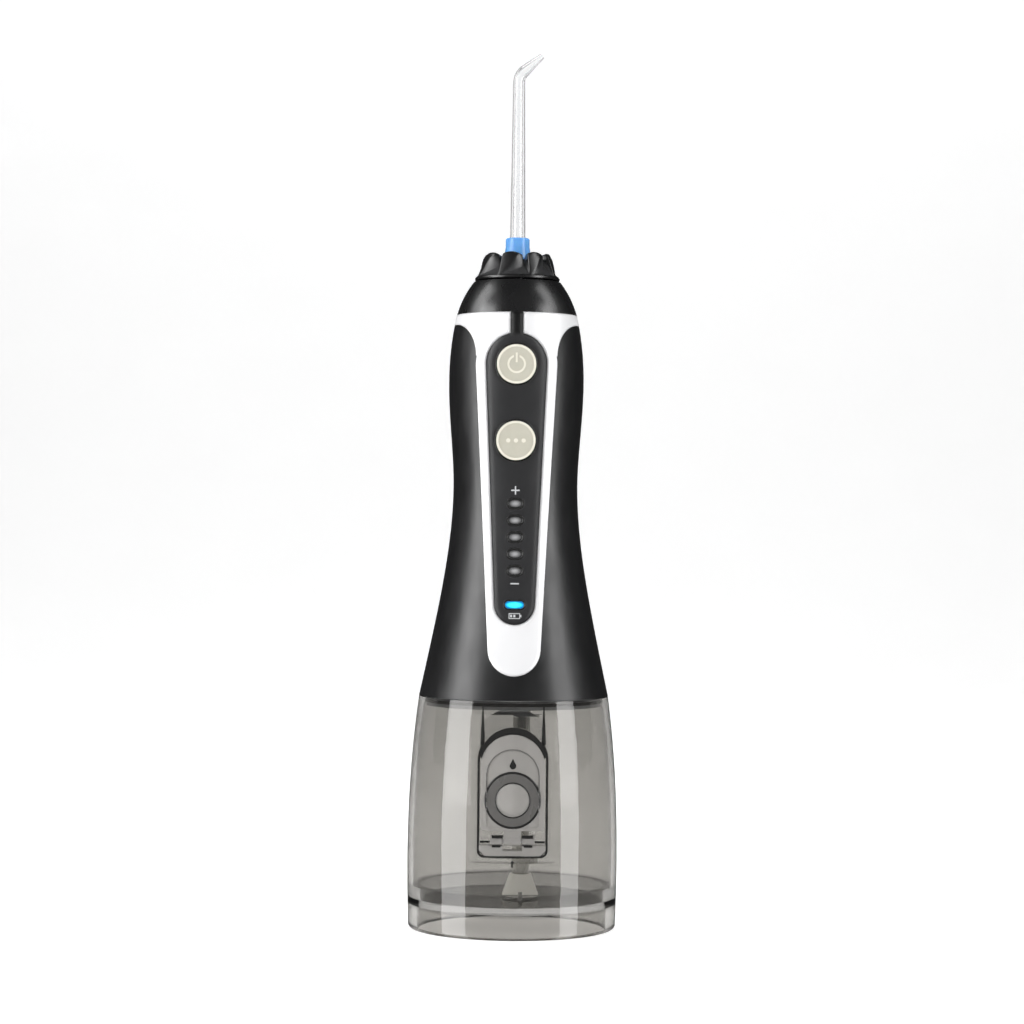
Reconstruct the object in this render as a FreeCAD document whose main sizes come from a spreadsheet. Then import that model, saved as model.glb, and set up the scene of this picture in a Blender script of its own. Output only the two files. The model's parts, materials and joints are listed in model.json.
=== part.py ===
"""Cordless water flosser: a clear tank below, a waisted handle with motor and piston pump, a turning
dial on top and a pull-out jet tip.  Millimetres; +Z up, front towards -Y, origin under the tank."""
import FreeCAD, Part

import math
import os
import re

import Sketcher

# ---------------------------------------------------------------- driving sizes
# Widths run along X, depths along Y.  "rise" is measured up from the seam between tank and handle,
# "drop" is measured down from the top of the handle.
SIZES = {
    # tank
    "tank_height": 83.0, "tank_wall": 2.0, "tank_mouth_width": 67.8, "tank_mouth_depth": 59.2,
    "tank_belly_width": 75.2, "tank_belly_depth": 65.0, "tank_base_width": 74.2, "tank_base_depth": 64.0,
    "tank_flank_width": 72.7, "tank_flank_depth": 62.8, "belly_height": 27.0, "flank_height": 60.0,
    "floor_top": 11.0, "floor_thickness": 2.4, "floor_step": 4.6, "step_inset": 2.4, "foot_ring_width": 3.4,
    "foot_radius": 1.4, "seam_gap": 0.3,
    # fill door on the tank's front
    "door_width": 23.8, "door_bottom": 29.3, "door_arch_height": 62.4, "door_corner": 2.0,
    "door_floor_depth": 27.5, "door_wall": 2.0, "door_frame_side": 2.4, "door_block_top": 78.4,
    "scoop_top": 81.6, "scoop_foot": 70.0, "scoop_width": 21.0,
    "lid_gap": 0.8, "lid_thickness": 1.8, "lid_bottom": 38.4, "lid_arch_drop": 2.0,
    "fill_height": 48.9, "fill_hole_radius": 5.8, "plug_radius": 5.3, "plug_reach": 1.2,
    "gasket_outer": 9.8, "gasket_thickness": 1.2, "gasket_gap": 0.2,
    "lid_relief_inset": 2.0, "lid_relief_depth": 0.5, "boss_front": 3.2,
    "hinge_height": 34.8, "hinge_depth": 30.7, "hinge_pin_radius": 0.8, "knuckle_radius": 1.6,
    "knuckle_width": 6.2, "hinge_width": 15.5, "hinge_clearance": 0.05, "part_gap": 0.3,
    # handle skin
    "handle_height": 136.1, "handle_wall": 2.6, "seam_width": 67.8, "seam_depth": 59.2,
    "flare_width": 59.4, "flare_depth": 53.4, "flare_rise": 19.7,
    "neck_width": 51.1, "neck_depth": 46.8, "neck_rise": 41.3,
    "waist_width": 44.6, "waist_depth": 42.0, "waist_rise": 78.0,
    "shoulder_width": 48.2, "shoulder_depth": 45.2, "shoulder_drop": 19.2,
    "band_width": 44.8, "band_depth": 42.8, "band_height": 3.8, "neck_top_width": 43.2, "neck_top_depth": 41.6,
    # bright frame and control panel on the handle's front
    "trim_thickness": 1.6, "trim_gap": 0.12, "frame_foot_radius": 9.4, "frame_foot_rise": 17.7,
    "frame_top_radius": 14.5, "frame_top_drop": 18.4, "wing_drop": 15.4, "wing_width": 7.6,
    "panel_foot_radius": 7.05, "panel_foot_rise": 33.4, "panel_top_radius": 10.7, "panel_top_drop": 18.2,
    "panel_proud": 0.35, "stem_width": 4.2,
    # buttons and lights
    "button_radius": 6.9, "button_gap": 0.25, "button_proud": 0.75, "button_travel": 0.8,
    "button_stem_radius": 2.0, "power_drop": 18.5, "mode_drop": 45.3, "rim_width": 0.8, "rim_relief": 0.25,
    "symbol_radius": 2.9, "symbol_line": 0.7,
    "level_count": 5, "level_pitch": 5.93, "level_first_rise": 45.0, "level_length": 4.8, "level_width": 2.7,
    "charge_rise": 33.2, "charge_length": 6.7, "charge_width": 2.6,
    # collar, dial and nozzle seat
    "collar_height": 12.0, "collar_top_width": 31.2, "collar_mid_width": 38.6, "collar_mid_depth": 38.0,
    "collar_mid_rise": 6.1, "collar_wall": 2.2, "collar_plug": 3.0,
    "dial_gap": 0.5, "dial_radius": 15.2, "dial_height": 10.6, "dial_crest_radius": 11.6, "dial_skirt": 1.0,
    "dial_well_radius": 5.6, "dial_well_depth": 4.4, "lobe_count": 8, "scoop_radius": 4.5,
    "scoop_swirl": 32.0, "lobe_turn": -38.0,
    "hub_radius": 7.0, "hub_length": 9.5, "hub_bore": 3.5, "hub_clearance": 0.08,
    "clip_height": 1.2, "clip_rise": 5.6, "clip_groove": 0.9, "clip_radius": 8.6,
    "seat_radius": 9.4, "seat_flange_radius": 11.4, "seat_flange_height": 2.0, "seat_well": 24.0,
    "seat_floor": 2.0, "seat_foot_radius": 7.2, "ring_section": 1.2, "contact_gap": 0.03,
    # jet tip
    "shank_radius": 3.4, "shank_length": 22.0, "tip_root_radius": 2.7, "tip_neck_radius": 2.1,
    "tip_end_radius": 0.95, "tip_straight": 72.0, "tip_bend_radius": 5.5, "tip_bend_angle": 49.0,
    "tip_end_length": 8.6, "tip_wall": 0.75, "tip_orifice": 0.4,
    "band_ring_top": 15.9, "band_ring_height": 9.0, "band_ring_radius": 4.3, "band_ring_foot": 4.9,
    # bulkhead under the pump, seal and suction line
    "bulkhead_thickness": 3.0, "spigot_height": 3.6, "spigot_gap": 0.8, "seal_gap": 0.3, "seal_depth": 1.6,
    "seal_height": 1.2, "spigot_wall": 2.4, "suction_offset": 3.0, "nipple_radius": 2.0, "nipple_length": 8.0,
    "rib_radius": 3.0, "channel_radius": 1.2, "hose_wall": 1.0, "hose_fit": 0.05,
    "strainer_radius": 6.5, "strainer_top_radius": 3.9, "strainer_height": 7.5, "strainer_lift": 0.8,
    # piston pump
    "pump_rise": 9.5, "pump_radius": 6.5, "bore_radius": 4.75, "bore_length": 14.5, "piston_gap": 0.06,
    "piston_wall": 1.0, "crown_thickness": 2.0, "piston_length": 14.0, "piston_front_gap": 1.0,
    "ring_width": 1.4, "ring_depth": 0.7, "wrist_room": 7.2, "crank_radius": 2.2, "rod_length": 16.0, "rod_thickness": 2.0,
    "rod_width": 2.4, "rod_eye": 2.2, "crank_pin_radius": 1.1, "wrist_radius": 0.8, "wrist_length": 3.6,
    "gasket_sheet": 0.5, "head_thickness": 5.5, "head_half": 7.0, "valve_radius": 2.4,
    # gear train and motor
    "tooth_module": 0.6, "pinion_teeth": 9, "gear_teeth": 36, "mesh_gap": 0.05, "gear_rise": 16.2,
    "gear_thickness": 4.0, "motor_offset": 5.0, "shaft_radius": 1.0, "axle_radius": 1.5, "pin_play": 0.05,
    "motor_radius": 12.0, "motor_length": 28.0, "can_wall": 1.0, "cap_thickness": 2.5,
    "motor_rise": 22.5, "plate_thickness": 2.0, "plate_inset": 0.8, "post_radius": 2.5,
    "post_front": 13.0, "post_back": 16.5, "post_side": 14.0, "screw_radius": 1.0, "screw_head": 1.9,
    "screw_head_height": 1.5, "boss_radius": 2.8, "boss_width": 22.0, "boss_depth": 10.5, "boss_height": 9.0,
    # battery, chassis, board
    "cell_radius": 9.15, "cell_length": 65.0, "cell_rise": 53.7, "cell_offset": 3.0, "cell_gap": 0.2,
    "board_depth": 16.2, "board_thickness": 1.2, "board_width": 17.6, "board_foot_rise": 28.7,
    "board_top_drop": 9.5, "chassis_gap": 1.4, "chassis_thickness": 1.5, "chassis_width": 21.0,
    "saddle_height": 6.0, "switch_size": 4.4, "switch_height": 0.9, "membrane_radius": 4.4,
    "membrane_thickness": 0.5, "membrane_gap": 0.1, "membrane_strip": 5.0, "led_height": 0.7,
    # delivery tube, release, charging port
    "tube_radius": 2.2, "tube_bore": 1.5, "port_channel": 0.8, "tube_offset": 14.5, "tube_bend": 5.0, "port_length": 2.0,
    "release_drop": 7.6, "release_length": 12.0, "release_width": 6.0, "release_proud": 0.6,
    "release_travel": 1.5, "latch_thickness": 1.2, "latch_half": 4.6, "latch_gap": 0.3,
    "socket_rise": 16.7, "socket_width": 9.0, "socket_height": 3.4, "socket_reach": 7.0, "socket_wall": 0.4,
    "cover_width": 15.0, "cover_height": 9.0, "cover_thickness": 1.5, "cover_gap": 0.3,
}

# Places that follow from the driving sizes, each written once as a formula.
PLACES = {
    "seam": "tank_height + seam_gap",
    "top": "seam + handle_height",
    "collar_top": "top + collar_height",
    "shoulder": "top - shoulder_drop",
    "door_half": "door_width / 2",
    "lid_half": "door_half - lid_gap",
    "lid_arch": "door_arch_height - lid_arch_drop",
    "door_floor_inner": "door_floor_depth - door_wall",
    "gasket_back": "door_floor_depth + gasket_gap",
    "power_z": "top - power_drop",
    "mode_z": "top - mode_drop",
    "pump_z": "seam + pump_rise",
    "gear_z": "seam + gear_rise",
    "motor_z": "seam + motor_rise",
    "cell_z": "seam + cell_rise",
    "board_foot": "seam + board_foot_rise",
    "board_top": "top - board_top_drop",
    "chassis_front": "board_depth - board_thickness - chassis_gap",
    "pinion_pitch": "tooth_module * pinion_teeth / 2",
    "gear_pitch": "tooth_module * gear_teeth / 2",
    "mesh_distance": "pinion_pitch + gear_pitch + mesh_gap",
    "gear_x": "-sqrt(mesh_distance * mesh_distance - motor_offset * motor_offset)",
    "pin_x": "gear_x + crank_radius",
    "wrist_x": "pin_x + rod_length",
    "bore_start": "wrist_x + wrist_room + crown_thickness + piston_front_gap - bore_length",
    "bore_end": "bore_start + bore_length",
    "head_x": "bore_end + gasket_sheet",
    "port_x": "head_x + head_thickness / 2",
    "piston_front": "bore_end - piston_front_gap",
    "piston_radius": "bore_radius - piston_gap",
    "seat_top": "collar_top - collar_wall",
    "hub_foot": "collar_top + dial_gap - hub_length",
    "seat_foot": "collar_top - seat_well - seat_floor",
    "tip_base": "collar_top",
    "release_z": "top - release_drop",
    "inlet_z": "seat_foot + seat_floor + tube_bore",
    "spigot_foot": "seam - spigot_height",
    "nipple_foot": "spigot_foot - nipple_length",
    "wing_rise": "wing_drop - band_height",
    "mode_face": "waist_depth / 2 + (shoulder_depth - waist_depth) / 2 * (mode_z - seam - waist_rise)"
                 " / (shoulder - seam - waist_rise)",
    "membrane_back": "board_depth + switch_height + membrane_gap",
    "stem_tip": "membrane_back + membrane_thickness + membrane_gap + button_travel",
    "window_back": "board_depth + led_height + part_gap",
    "release_face": "(shoulder_depth + band_depth) / 4 + release_proud",
    "release_back": "release_face - release_travel - 2.1",
    "socket_z": "seam + socket_rise",
    "socket_face": "flare_depth / 2 - cover_thickness - 2 * cover_gap",
    "strainer_foot": "floor_top + strainer_lift",
    "channel_z": "seam - rib_radius + 0.6",
    "cell_top": "cell_z + cell_length",
}

doc = FreeCAD.newDocument("water_flosser")
sheet = doc.addObject("Spreadsheet::Sheet", "Dims")
for row, (alias, value) in enumerate(SIZES.items(), start=1):
    sheet.set("A%d" % row, alias)
    sheet.set("B%d" % row, str(value))
    sheet.setAlias("B%d" % row, alias)
doc.recompute()

PARTS = {}


# ---------------------------------------------------------------- helpers
def formula(text):
    """Turn a formula in plain size names into an expression on the sheet."""
    def swap(match):
        word = match.group(0)
        if word in PLACES:
            return "(" + formula(PLACES[word]) + ")"
        if word in SIZES:
            return "Dims." + word
        return word
    return re.sub(r"[a-z_]+", swap, str(text))


def size(text):
    """The present value of a formula, in millimetres."""
    value = sheet.evalExpression(formula(text))
    return float(getattr(value, "Value", value))


def bind(item, **properties):
    for name, text in properties.items():
        item.setExpression(name, formula(text))
    return item


def place(item, x="0", y="0", z="0", turn=None):
    """Put an object at a place given by formulas, optionally turned first."""
    if turn is not None:
        item.Placement = FreeCAD.Placement(FreeCAD.Vector(0, 0, 0), turn)
    for axis, text in (("x", x), ("y", y), ("z", z)):
        item.setExpression("Placement.Base." + axis, formula(text))
    return item


UPRIGHT = None
ALONG_X = FreeCAD.Rotation(FreeCAD.Vector(0, 1, 0), 90)
ALONG_Y = FreeCAD.Rotation(FreeCAD.Vector(1, 0, 0), -90)


def cylinder(name, radius, height, x="0", y="0", z="0", turn=UPRIGHT):
    item = doc.addObject("Part::Cylinder", name)
    bind(item, Radius=radius, Height=height)
    return place(item, x, y, z, turn)


def cone(name, radius_low, radius_high, height, x="0", y="0", z="0", turn=UPRIGHT):
    item = doc.addObject("Part::Cone", name)
    bind(item, Radius1=radius_low, Radius2=radius_high, Height=height)
    return place(item, x, y, z, turn)


def box(name, x, y, z):
    """A box from three pairs of formulas, low and high."""
    item = doc.addObject("Part::Box", name)
    bind(item, Length="(%s) - (%s)" % (x[1], x[0]), Width="(%s) - (%s)" % (y[1], y[0]),
         Height="(%s) - (%s)" % (z[1], z[0]))
    return place(item, x[0], y[0], z[0])


def fuse(name, *shapes):
    item = doc.addObject("Part::MultiFuse", name)
    item.Shapes = list(shapes)
    return item


def cut(name, base, *tools):
    item = doc.addObject("Part::Cut", name)
    item.Base = base
    item.Tool = tools[0] if len(tools) == 1 else fuse(name + "_tools", *tools)
    return item


def common(name, first, second):
    item = doc.addObject("Part::Common", name)
    item.Base = first
    item.Tool = second
    return item


def oval_prism(name, half_width, half_depth, height, z):
    """An upright prism on an ellipse that is wider than deep."""
    ellipse = doc.addObject("Part::Ellipse", name + "_oval")
    bind(ellipse, MajorRadius=half_width, MinorRadius=half_depth)
    prism = doc.addObject("Part::Extrusion", name)
    prism.Base = ellipse
    prism.DirMode = "Custom"
    prism.Dir = FreeCAD.Vector(0, 0, 1)
    prism.Solid = True
    bind(prism, LengthFwd=height)
    return place(prism, z=z)


def skin(name, stations, inset="0"):
    """A lofted oval solid through stations of (height, full width, full depth), moved in by inset."""
    ovals = []
    for number, (height, width, depth) in enumerate(stations):
        ellipse = doc.addObject("Part::Ellipse", "%s_oval%d" % (name, number))
        bind(ellipse, MajorRadius="(%s) / 2 - (%s) + 0.001" % (width, inset),
             MinorRadius="(%s) / 2 - (%s)" % (depth, inset))
        place(ellipse, z=height)
        ovals.append(ellipse)
    loft = doc.addObject("Part::Loft", name)
    loft.Sections = ovals
    loft.Solid = True
    loft.Ruled = False
    return loft


def rounded_foot(name, base, radius):
    """The same solid with its lowest outer edge rounded."""
    doc.recompute()
    lowest = base.Shape.BoundBox.ZMin + 0.01
    item = doc.addObject("Part::Fillet", name)
    item.Base = base
    item.Edges = [(number, size(radius), size(radius)) for number, edge in enumerate(base.Shape.Edges, start=1)
                  if max(vertex.Z for vertex in edge.Vertexes) < lowest and edge.BoundBox.ZMax < lowest]
    return item


def attach(sketch, body, role):
    planes = [item for item in body.Origin.OriginFeatures if item.Role == role]
    sketch.AttachmentSupport = [(planes[0], "")]
    sketch.MapMode = "FlatFace"


def pin_vertex(sketch, geometry, end, x, y):
    """Hold one end of a sketch line at a place given by formulas."""
    for kind, text in (("DistanceX", x), ("DistanceY", y)):
        index = sketch.addConstraint(Sketcher.Constraint(kind, -1, 1, geometry, end, size(text)))
        sketch.setExpression("Constraints[%d]" % index, formula(text))


def outline(sketch, corners):
    """A closed outline of straight lines through corners given as pairs of formulas."""
    points = [FreeCAD.Vector(size(x), size(y), 0) for x, y in corners]
    count = len(points)
    for number in range(count):
        sketch.addGeometry(Part.LineSegment(points[number], points[(number + 1) % count]))
    for number in range(count):
        sketch.addConstraint(Sketcher.Constraint("Coincident", number, 2, (number + 1) % count, 1))
    for number, (x, y) in enumerate(corners):
        pin_vertex(sketch, number, 1, x, y)


def new_body(name, role, corners):
    body = doc.addObject("PartDesign::Body", name)
    sketch = body.newObject("Sketcher::SketchObject", name + "_profile")
    attach(sketch, body, role)
    outline(sketch, corners)
    return body, sketch


def turned(name, corners, x="0", y="0", z="0", turn=UPRIGHT):
    """A body revolved about its own Z axis from corners of (radius, height)."""
    body, sketch = new_body(name, "XZ_Plane", corners)
    revolve = body.newObject("PartDesign::Revolution", name + "_revolve")
    revolve.Profile = sketch
    revolve.ReferenceAxis = (sketch, ["V_Axis"])
    revolve.Angle = 360
    body.Tip = revolve
    return place(body, x, y, z, turn)


def tapered_slot(name, low, low_radius, high, high_radius, depth="60", y="0"):
    """A front-facing pad on two arcs of different radius joined by their tangent sides."""
    body = doc.addObject("PartDesign::Body", name)
    sketch = body.newObject("Sketcher::SketchObject", name + "_profile")
    attach(sketch, body, "XZ_Plane")
    span = size(high) - size(low)
    lean = math.asin((size(high_radius) - size(low_radius)) / span)
    centres = [FreeCAD.Vector(0, size(low), 0), FreeCAD.Vector(0, size(high), 0)]
    radii = [size(low_radius), size(high_radius)]
    axis = FreeCAD.Vector(0, 0, 1)
    arcs = [Part.ArcOfCircle(Part.Circle(centres[0], axis, radii[0]), math.pi + lean, 2 * math.pi - lean),
            Part.ArcOfCircle(Part.Circle(centres[1], axis, radii[1]), -lean, math.pi + lean)]
    for arc in arcs:
        sketch.addGeometry(arc)
    right = [arcs[0].EndPoint, arcs[1].StartPoint]
    left = [arcs[1].EndPoint, arcs[0].StartPoint]
    sketch.addGeometry(Part.LineSegment(right[0], right[1]))
    sketch.addGeometry(Part.LineSegment(left[0], left[1]))
    sketch.addConstraint(Sketcher.Constraint("Tangent", 0, 2, 2, 1))
    sketch.addConstraint(Sketcher.Constraint("Tangent", 2, 2, 1, 1))
    sketch.addConstraint(Sketcher.Constraint("Tangent", 1, 2, 3, 1))
    sketch.addConstraint(Sketcher.Constraint("Tangent", 3, 2, 0, 1))
    for number, (height, radius) in enumerate(((low, low_radius), (high, high_radius))):
        sketch.addConstraint(Sketcher.Constraint("PointOnObject", number, 3, -2))
        index = sketch.addConstraint(Sketcher.Constraint("DistanceY", -1, 1, number, 3, size(height)))
        sketch.setExpression("Constraints[%d]" % index, formula(height))
        index = sketch.addConstraint(Sketcher.Constraint("Radius", number, size(radius)))
        sketch.setExpression("Constraints[%d]" % index, formula(radius))
    pad = body.newObject("PartDesign::Pad", name + "_pad")
    pad.Profile = sketch
    bind(pad, Length=depth)
    body.Tip = pad
    return place(body, y=y)


def level_slot(name, z, length, width, front, back):
    """A bar with round ends lying along X, from y=-front to y=-back."""
    half = "(%s - %s) / 2" % (length, width)
    radius = "(%s) / 2" % width
    reach = "(%s) - (%s)" % (front, back)
    ends = [cylinder("%s_end%d" % (name, side), radius, reach, "(%s) * %d" % (half, side), "-(%s)" % front, z,
                     ALONG_Y) for side in (-1, 1)]
    bar = box(name + "_bar", ("-(%s)" % half, half), ("-(%s)" % front, "-(%s)" % back),
              ("%s - %s" % (z, radius), "%s + %s" % (z, radius)))
    return fuse(name, bar, *ends)


def keep(node, item):
    """Name a finished piece; the name is also its file's name."""
    item.Label = node
    PARTS[node] = item
    return item


def arched_pad(name, half, bottom, arch, corner, depth="60", y="0"):
    """A front-facing pad: straight sides, a half-round top and clipped lower corners."""
    body = doc.addObject("PartDesign::Body", name)
    sketch = body.newObject("Sketcher::SketchObject", name + "_profile")
    attach(sketch, body, "XZ_Plane")
    corners = [("-(%s)" % half, arch), ("-(%s)" % half, "%s + %s" % (bottom, corner)),
               ("-(%s) + %s" % (half, corner), bottom), ("%s - (%s)" % (half, corner), bottom),
               (half, "%s + %s" % (bottom, corner)), (half, arch)]
    points = [FreeCAD.Vector(size(x), size(z), 0) for x, z in corners]
    for number in range(5):
        sketch.addGeometry(Part.LineSegment(points[number], points[number + 1]))
    crown = Part.Circle(FreeCAD.Vector(0, size(arch), 0), FreeCAD.Vector(0, 0, 1), size(half))
    sketch.addGeometry(Part.ArcOfCircle(crown, 0, math.pi))
    for number in range(4):
        sketch.addConstraint(Sketcher.Constraint("Coincident", number, 2, number + 1, 1))
    sketch.addConstraint(Sketcher.Constraint("Coincident", 4, 2, 5, 1))
    sketch.addConstraint(Sketcher.Constraint("Coincident", 5, 2, 0, 1))
    for number in range(5):
        pin_vertex(sketch, number, 1, *corners[number])
    pin_vertex(sketch, 4, 2, *corners[5])
    index = sketch.addConstraint(Sketcher.Constraint("DistanceY", -1, 1, 5, 3, size(arch)))
    sketch.setExpression("Constraints[%d]" % index, formula(arch))
    pad = body.newObject("PartDesign::Pad", name + "_pad")
    pad.Profile = sketch
    bind(pad, Length=depth)
    body.Tip = pad
    return place(body, y=y)


def everywhere(name, low, high):
    """A slab wider than the whole flosser between two heights."""
    return box(name, ("-60", "60"), ("-60", "60"), (low, high))


# ---------------------------------------------------------------- water tank and fill door
TANK = [("0", "tank_base_width", "tank_base_depth"),
        ("belly_height", "tank_belly_width", "tank_belly_depth"),
        ("flank_height", "tank_flank_width", "tank_flank_depth"),
        ("tank_height", "tank_mouth_width", "tank_mouth_depth")]
tank_outer = skin("tank_outer", TANK)


def build_tank():
    """Open-topped clear vessel with a raised floor, a foot ring and a recessed door in front."""
    cavity = cut("tank_cavity", skin("tank_inner", TANK, "tank_wall"),
                 everywhere("tank_below_step", "-1", "floor_top + floor_step"))
    step = oval_prism("tank_step", "tank_base_width / 2 - tank_wall - step_inset",
                      "tank_base_depth / 2 - tank_wall - step_inset", "floor_step + 0.01", "floor_top")
    side = "(door_half + door_frame_side)"
    block = box("door_block", ("-" + side, side), ("-50", "-door_floor_inner"),
                ("door_bottom - door_frame_side", "door_block_top"))
    room = cut("tank_room", fuse("tank_hollow", cavity, step), block)
    foot = oval_prism("tank_foot_recess", "tank_base_width / 2 - foot_ring_width",
                      "tank_base_depth / 2 - foot_ring_width", "floor_top - floor_thickness", "0")
    door = arched_pad("door_recess", "door_half", "door_bottom", "door_arch_height", "door_corner",
                      y="-door_floor_depth")
    body, sketch = new_body("finger_scoop", "YZ_Plane", [
        ("-tank_mouth_depth / 2 - 0.35", "scoop_top"), ("-door_floor_depth", "scoop_foot"),
        ("-50", "scoop_foot"), ("-50", "scoop_top")])
    pad = body.newObject("PartDesign::Pad", "finger_scoop_pad")
    pad.Profile = sketch
    bind(pad, Length="scoop_width")
    pad.Midplane = True
    body.Tip = pad
    hole = cylinder("fill_hole", "fill_hole_radius", "20", "0", "-door_floor_depth - 2", "fill_height", ALONG_Y)
    blank = rounded_foot("tank_blank", tank_outer, "foot_radius")
    keep("water_tank", cut("tank_shell", blank, room, foot, door, body, hole))


def build_lid():
    """Arched door on a hinge pin, with a plug and a flat gasket behind it that close the fill hole."""
    sheet_skin = cut("lid_skin", tank_outer, skin("lid_back", TANK, "lid_thickness"))
    panel = common("lid_panel", sheet_skin,
                   arched_pad("lid_outline", "lid_half", "lid_bottom", "lid_arch", "1"))
    relief_zone = cut("lid_relief_zone",
                      arched_pad("lid_relief_outline", "lid_half - lid_relief_inset",
                                 "fill_height - gasket_outer", "lid_arch - 3.1", "1"),
                      skin("lid_relief_skin", TANK, "lid_relief_depth"))
    seat = "gasket_back + gasket_thickness"
    boss = cylinder("lid_boss", "gasket_outer", "door_floor_depth + boss_front - (%s)" % seat, "0",
                    "-door_floor_depth - boss_front", "fill_height", ALONG_Y)
    plug = cylinder("lid_plug", "plug_radius", "boss_front + plug_reach", "0", "-door_floor_depth - boss_front",
                    "fill_height", ALONG_Y)
    knuckle = cylinder("lid_knuckle", "knuckle_radius", "knuckle_width", "-knuckle_width / 2", "-hinge_depth",
                       "hinge_height", ALONG_X)
    arm = box("lid_arm", ("-knuckle_width / 2", "knuckle_width / 2"),
              ("-hinge_depth - 1.3", "-hinge_depth + 0.9"), ("hinge_height", "lid_bottom + 0.4"))
    bore = cylinder("lid_bore", "hinge_pin_radius + hinge_clearance", "knuckle_width + 2",
                    "-knuckle_width / 2 - 1", "-hinge_depth", "hinge_height", ALONG_X)
    solid = fuse("lid_solid", panel, boss, plug, knuckle, arm)
    keep("fill_lid", cut("lid_finished", solid, bore, relief_zone))
    ring = cylinder("gasket_disc", "gasket_outer", "gasket_thickness", "0", "-(%s)" % seat, "fill_height",
                    ALONG_Y)
    eye = cylinder("gasket_eye", "plug_radius + hinge_clearance", "gasket_thickness + 2", "0",
                   "-(%s) - 1" % seat, "fill_height", ALONG_Y)
    keep("lid_gasket", cut("gasket_ring", ring, eye))


def build_lid_hinge():
    """Base plate let into the foot of the door recess, two outer knuckles and their pin."""
    plate = common("hinge_plate_skin", tank_outer, cut(
        "hinge_plate_outline",
        arched_pad("hinge_plate_arch", "door_half - part_gap", "door_bottom + part_gap", "door_arch_height",
                   "door_corner", y="-door_floor_depth"),
        everywhere("hinge_plate_above", "hinge_height - knuckle_radius", "200")))
    notch = box("hinge_notch", ("-knuckle_width / 2 - part_gap", "knuckle_width / 2 + part_gap"),
                ("-60", "-door_floor_depth"), ("hinge_height - 3.4", "hinge_height + 5"))
    pieces = []
    for side in (-1, 1):
        inner = "(knuckle_width / 2 + part_gap)"
        low, high = (inner, "hinge_width / 2") if side > 0 else ("-hinge_width / 2", "-" + inner)
        pieces.append(cylinder("hinge_knuckle%d" % side, "knuckle_radius", "(%s) - (%s)" % (high, low), low,
                               "-hinge_depth", "hinge_height", ALONG_X))
        pieces.append(box("hinge_cheek%d" % side, (low, high), ("-hinge_depth", "-door_floor_depth"),
                          ("hinge_height - knuckle_radius - 0.2", "hinge_height + knuckle_radius")))
    pin_hole = cylinder("hinge_pin_hole", "hinge_pin_radius", "hinge_width + 2", "-hinge_width / 2 - 1",
                        "-hinge_depth", "hinge_height", ALONG_X)
    keep("lid_hinge_plate", cut("hinge_plate_finished", fuse("hinge_plate_solid", plate, *pieces), notch,
                                pin_hole))
    keep("lid_hinge_pin", cylinder("hinge_pin", "hinge_pin_radius", "hinge_width", "-hinge_width / 2",
                                   "-hinge_depth", "hinge_height", ALONG_X))


build_tank()
build_lid()
build_lid_hinge()

# ---------------------------------------------------------------- handle skin, bright frame, panel
HANDLE = [("seam", "seam_width", "seam_depth"),
          ("seam + flare_rise", "flare_width", "flare_depth"),
          ("seam + neck_rise", "neck_width", "neck_depth"),
          ("seam + waist_rise", "waist_width", "waist_depth"),
          ("shoulder", "shoulder_width", "shoulder_depth"),
          ("top - band_height", "band_width", "band_depth"),
          ("top", "neck_top_width", "neck_top_depth")]
handle_outer = skin("handle_outer", HANDLE)
handle_inner = skin("handle_inner", HANDLE, "handle_wall")
trim_back = skin("trim_back", HANDLE, "trim_thickness - trim_gap")
panel_front = skin("panel_front", HANDLE, "-panel_proud")


def frame_zone(name, gap):
    """Everything in front of the bright frame: a tapered tongue that opens into a band at the top."""
    tongue = tapered_slot(name + "_tongue", "seam + frame_foot_rise", "frame_foot_radius - %s" % gap,
                          "top - frame_top_drop", "frame_top_radius - %s" % gap)
    reach = "(frame_top_radius + wing_width)"
    block = box(name + "_wings", ("-40", "40"), ("-60", "0"), ("top - wing_drop", "top"))
    hollows = []
    for side in (-1, 1):
        oval = doc.addObject("Part::Ellipse", "%s_wing_oval%d" % (name, side))
        bind(oval, MajorRadius="wing_rise + %s" % gap, MinorRadius="wing_width + %s" % gap)
        place(oval, "%s * %d" % (reach, side), "1", "top - wing_drop",
              FreeCAD.Rotation(FreeCAD.Vector(1, 1, 1), -120))
        hollow = doc.addObject("Part::Extrusion", "%s_wing_hollow%d" % (name, side))
        hollow.Base = oval
        hollow.DirMode = "Custom"
        hollow.Dir = FreeCAD.Vector(0, -1, 0)
        hollow.Solid = True
        hollow.LengthFwd = 80
        low, high = (reach, "50") if side > 0 else ("-50", "-" + reach)
        hollows.append(hollow)
        hollows.append(box("%s_wing_side%d" % (name, side), (low, high), ("-70", "1"),
                           ("top - wing_drop - 1", "top - band_height + %s" % gap)))
    band = box(name + "_band", ("-40", "40"), ("0", "60"), ("top - band_height + %s" % gap, "top"))
    return fuse(name, tongue, cut(name + "_wing_block", block, *hollows), band)


def panel_zone(name, gap):
    """Everything in front of the control panel: a tapered slot with a stem up to the collar."""
    slot = tapered_slot(name + "_slot", "seam + panel_foot_rise", "panel_foot_radius + %s" % gap,
                        "top - panel_top_drop", "panel_top_radius + %s" % gap)
    half = "(stem_width / 2 + %s)" % gap
    stem = box(name + "_stem", ("-" + half, half), ("-60", "0"), ("top - panel_top_drop", "top"))
    return fuse(name, slot, stem)


def light_slots(name, gap, front, back):
    """Slots for the level lights, from the foot of the scale to its head."""
    slots = []
    for number in range(int(size("level_count"))):
        slots.append(level_slot("%s%d" % (name, number), "seam + level_first_rise + %d * level_pitch" % number,
                                "(level_length + %s)" % gap, "(level_width + %s)" % gap, front, back))
    return slots


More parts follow.
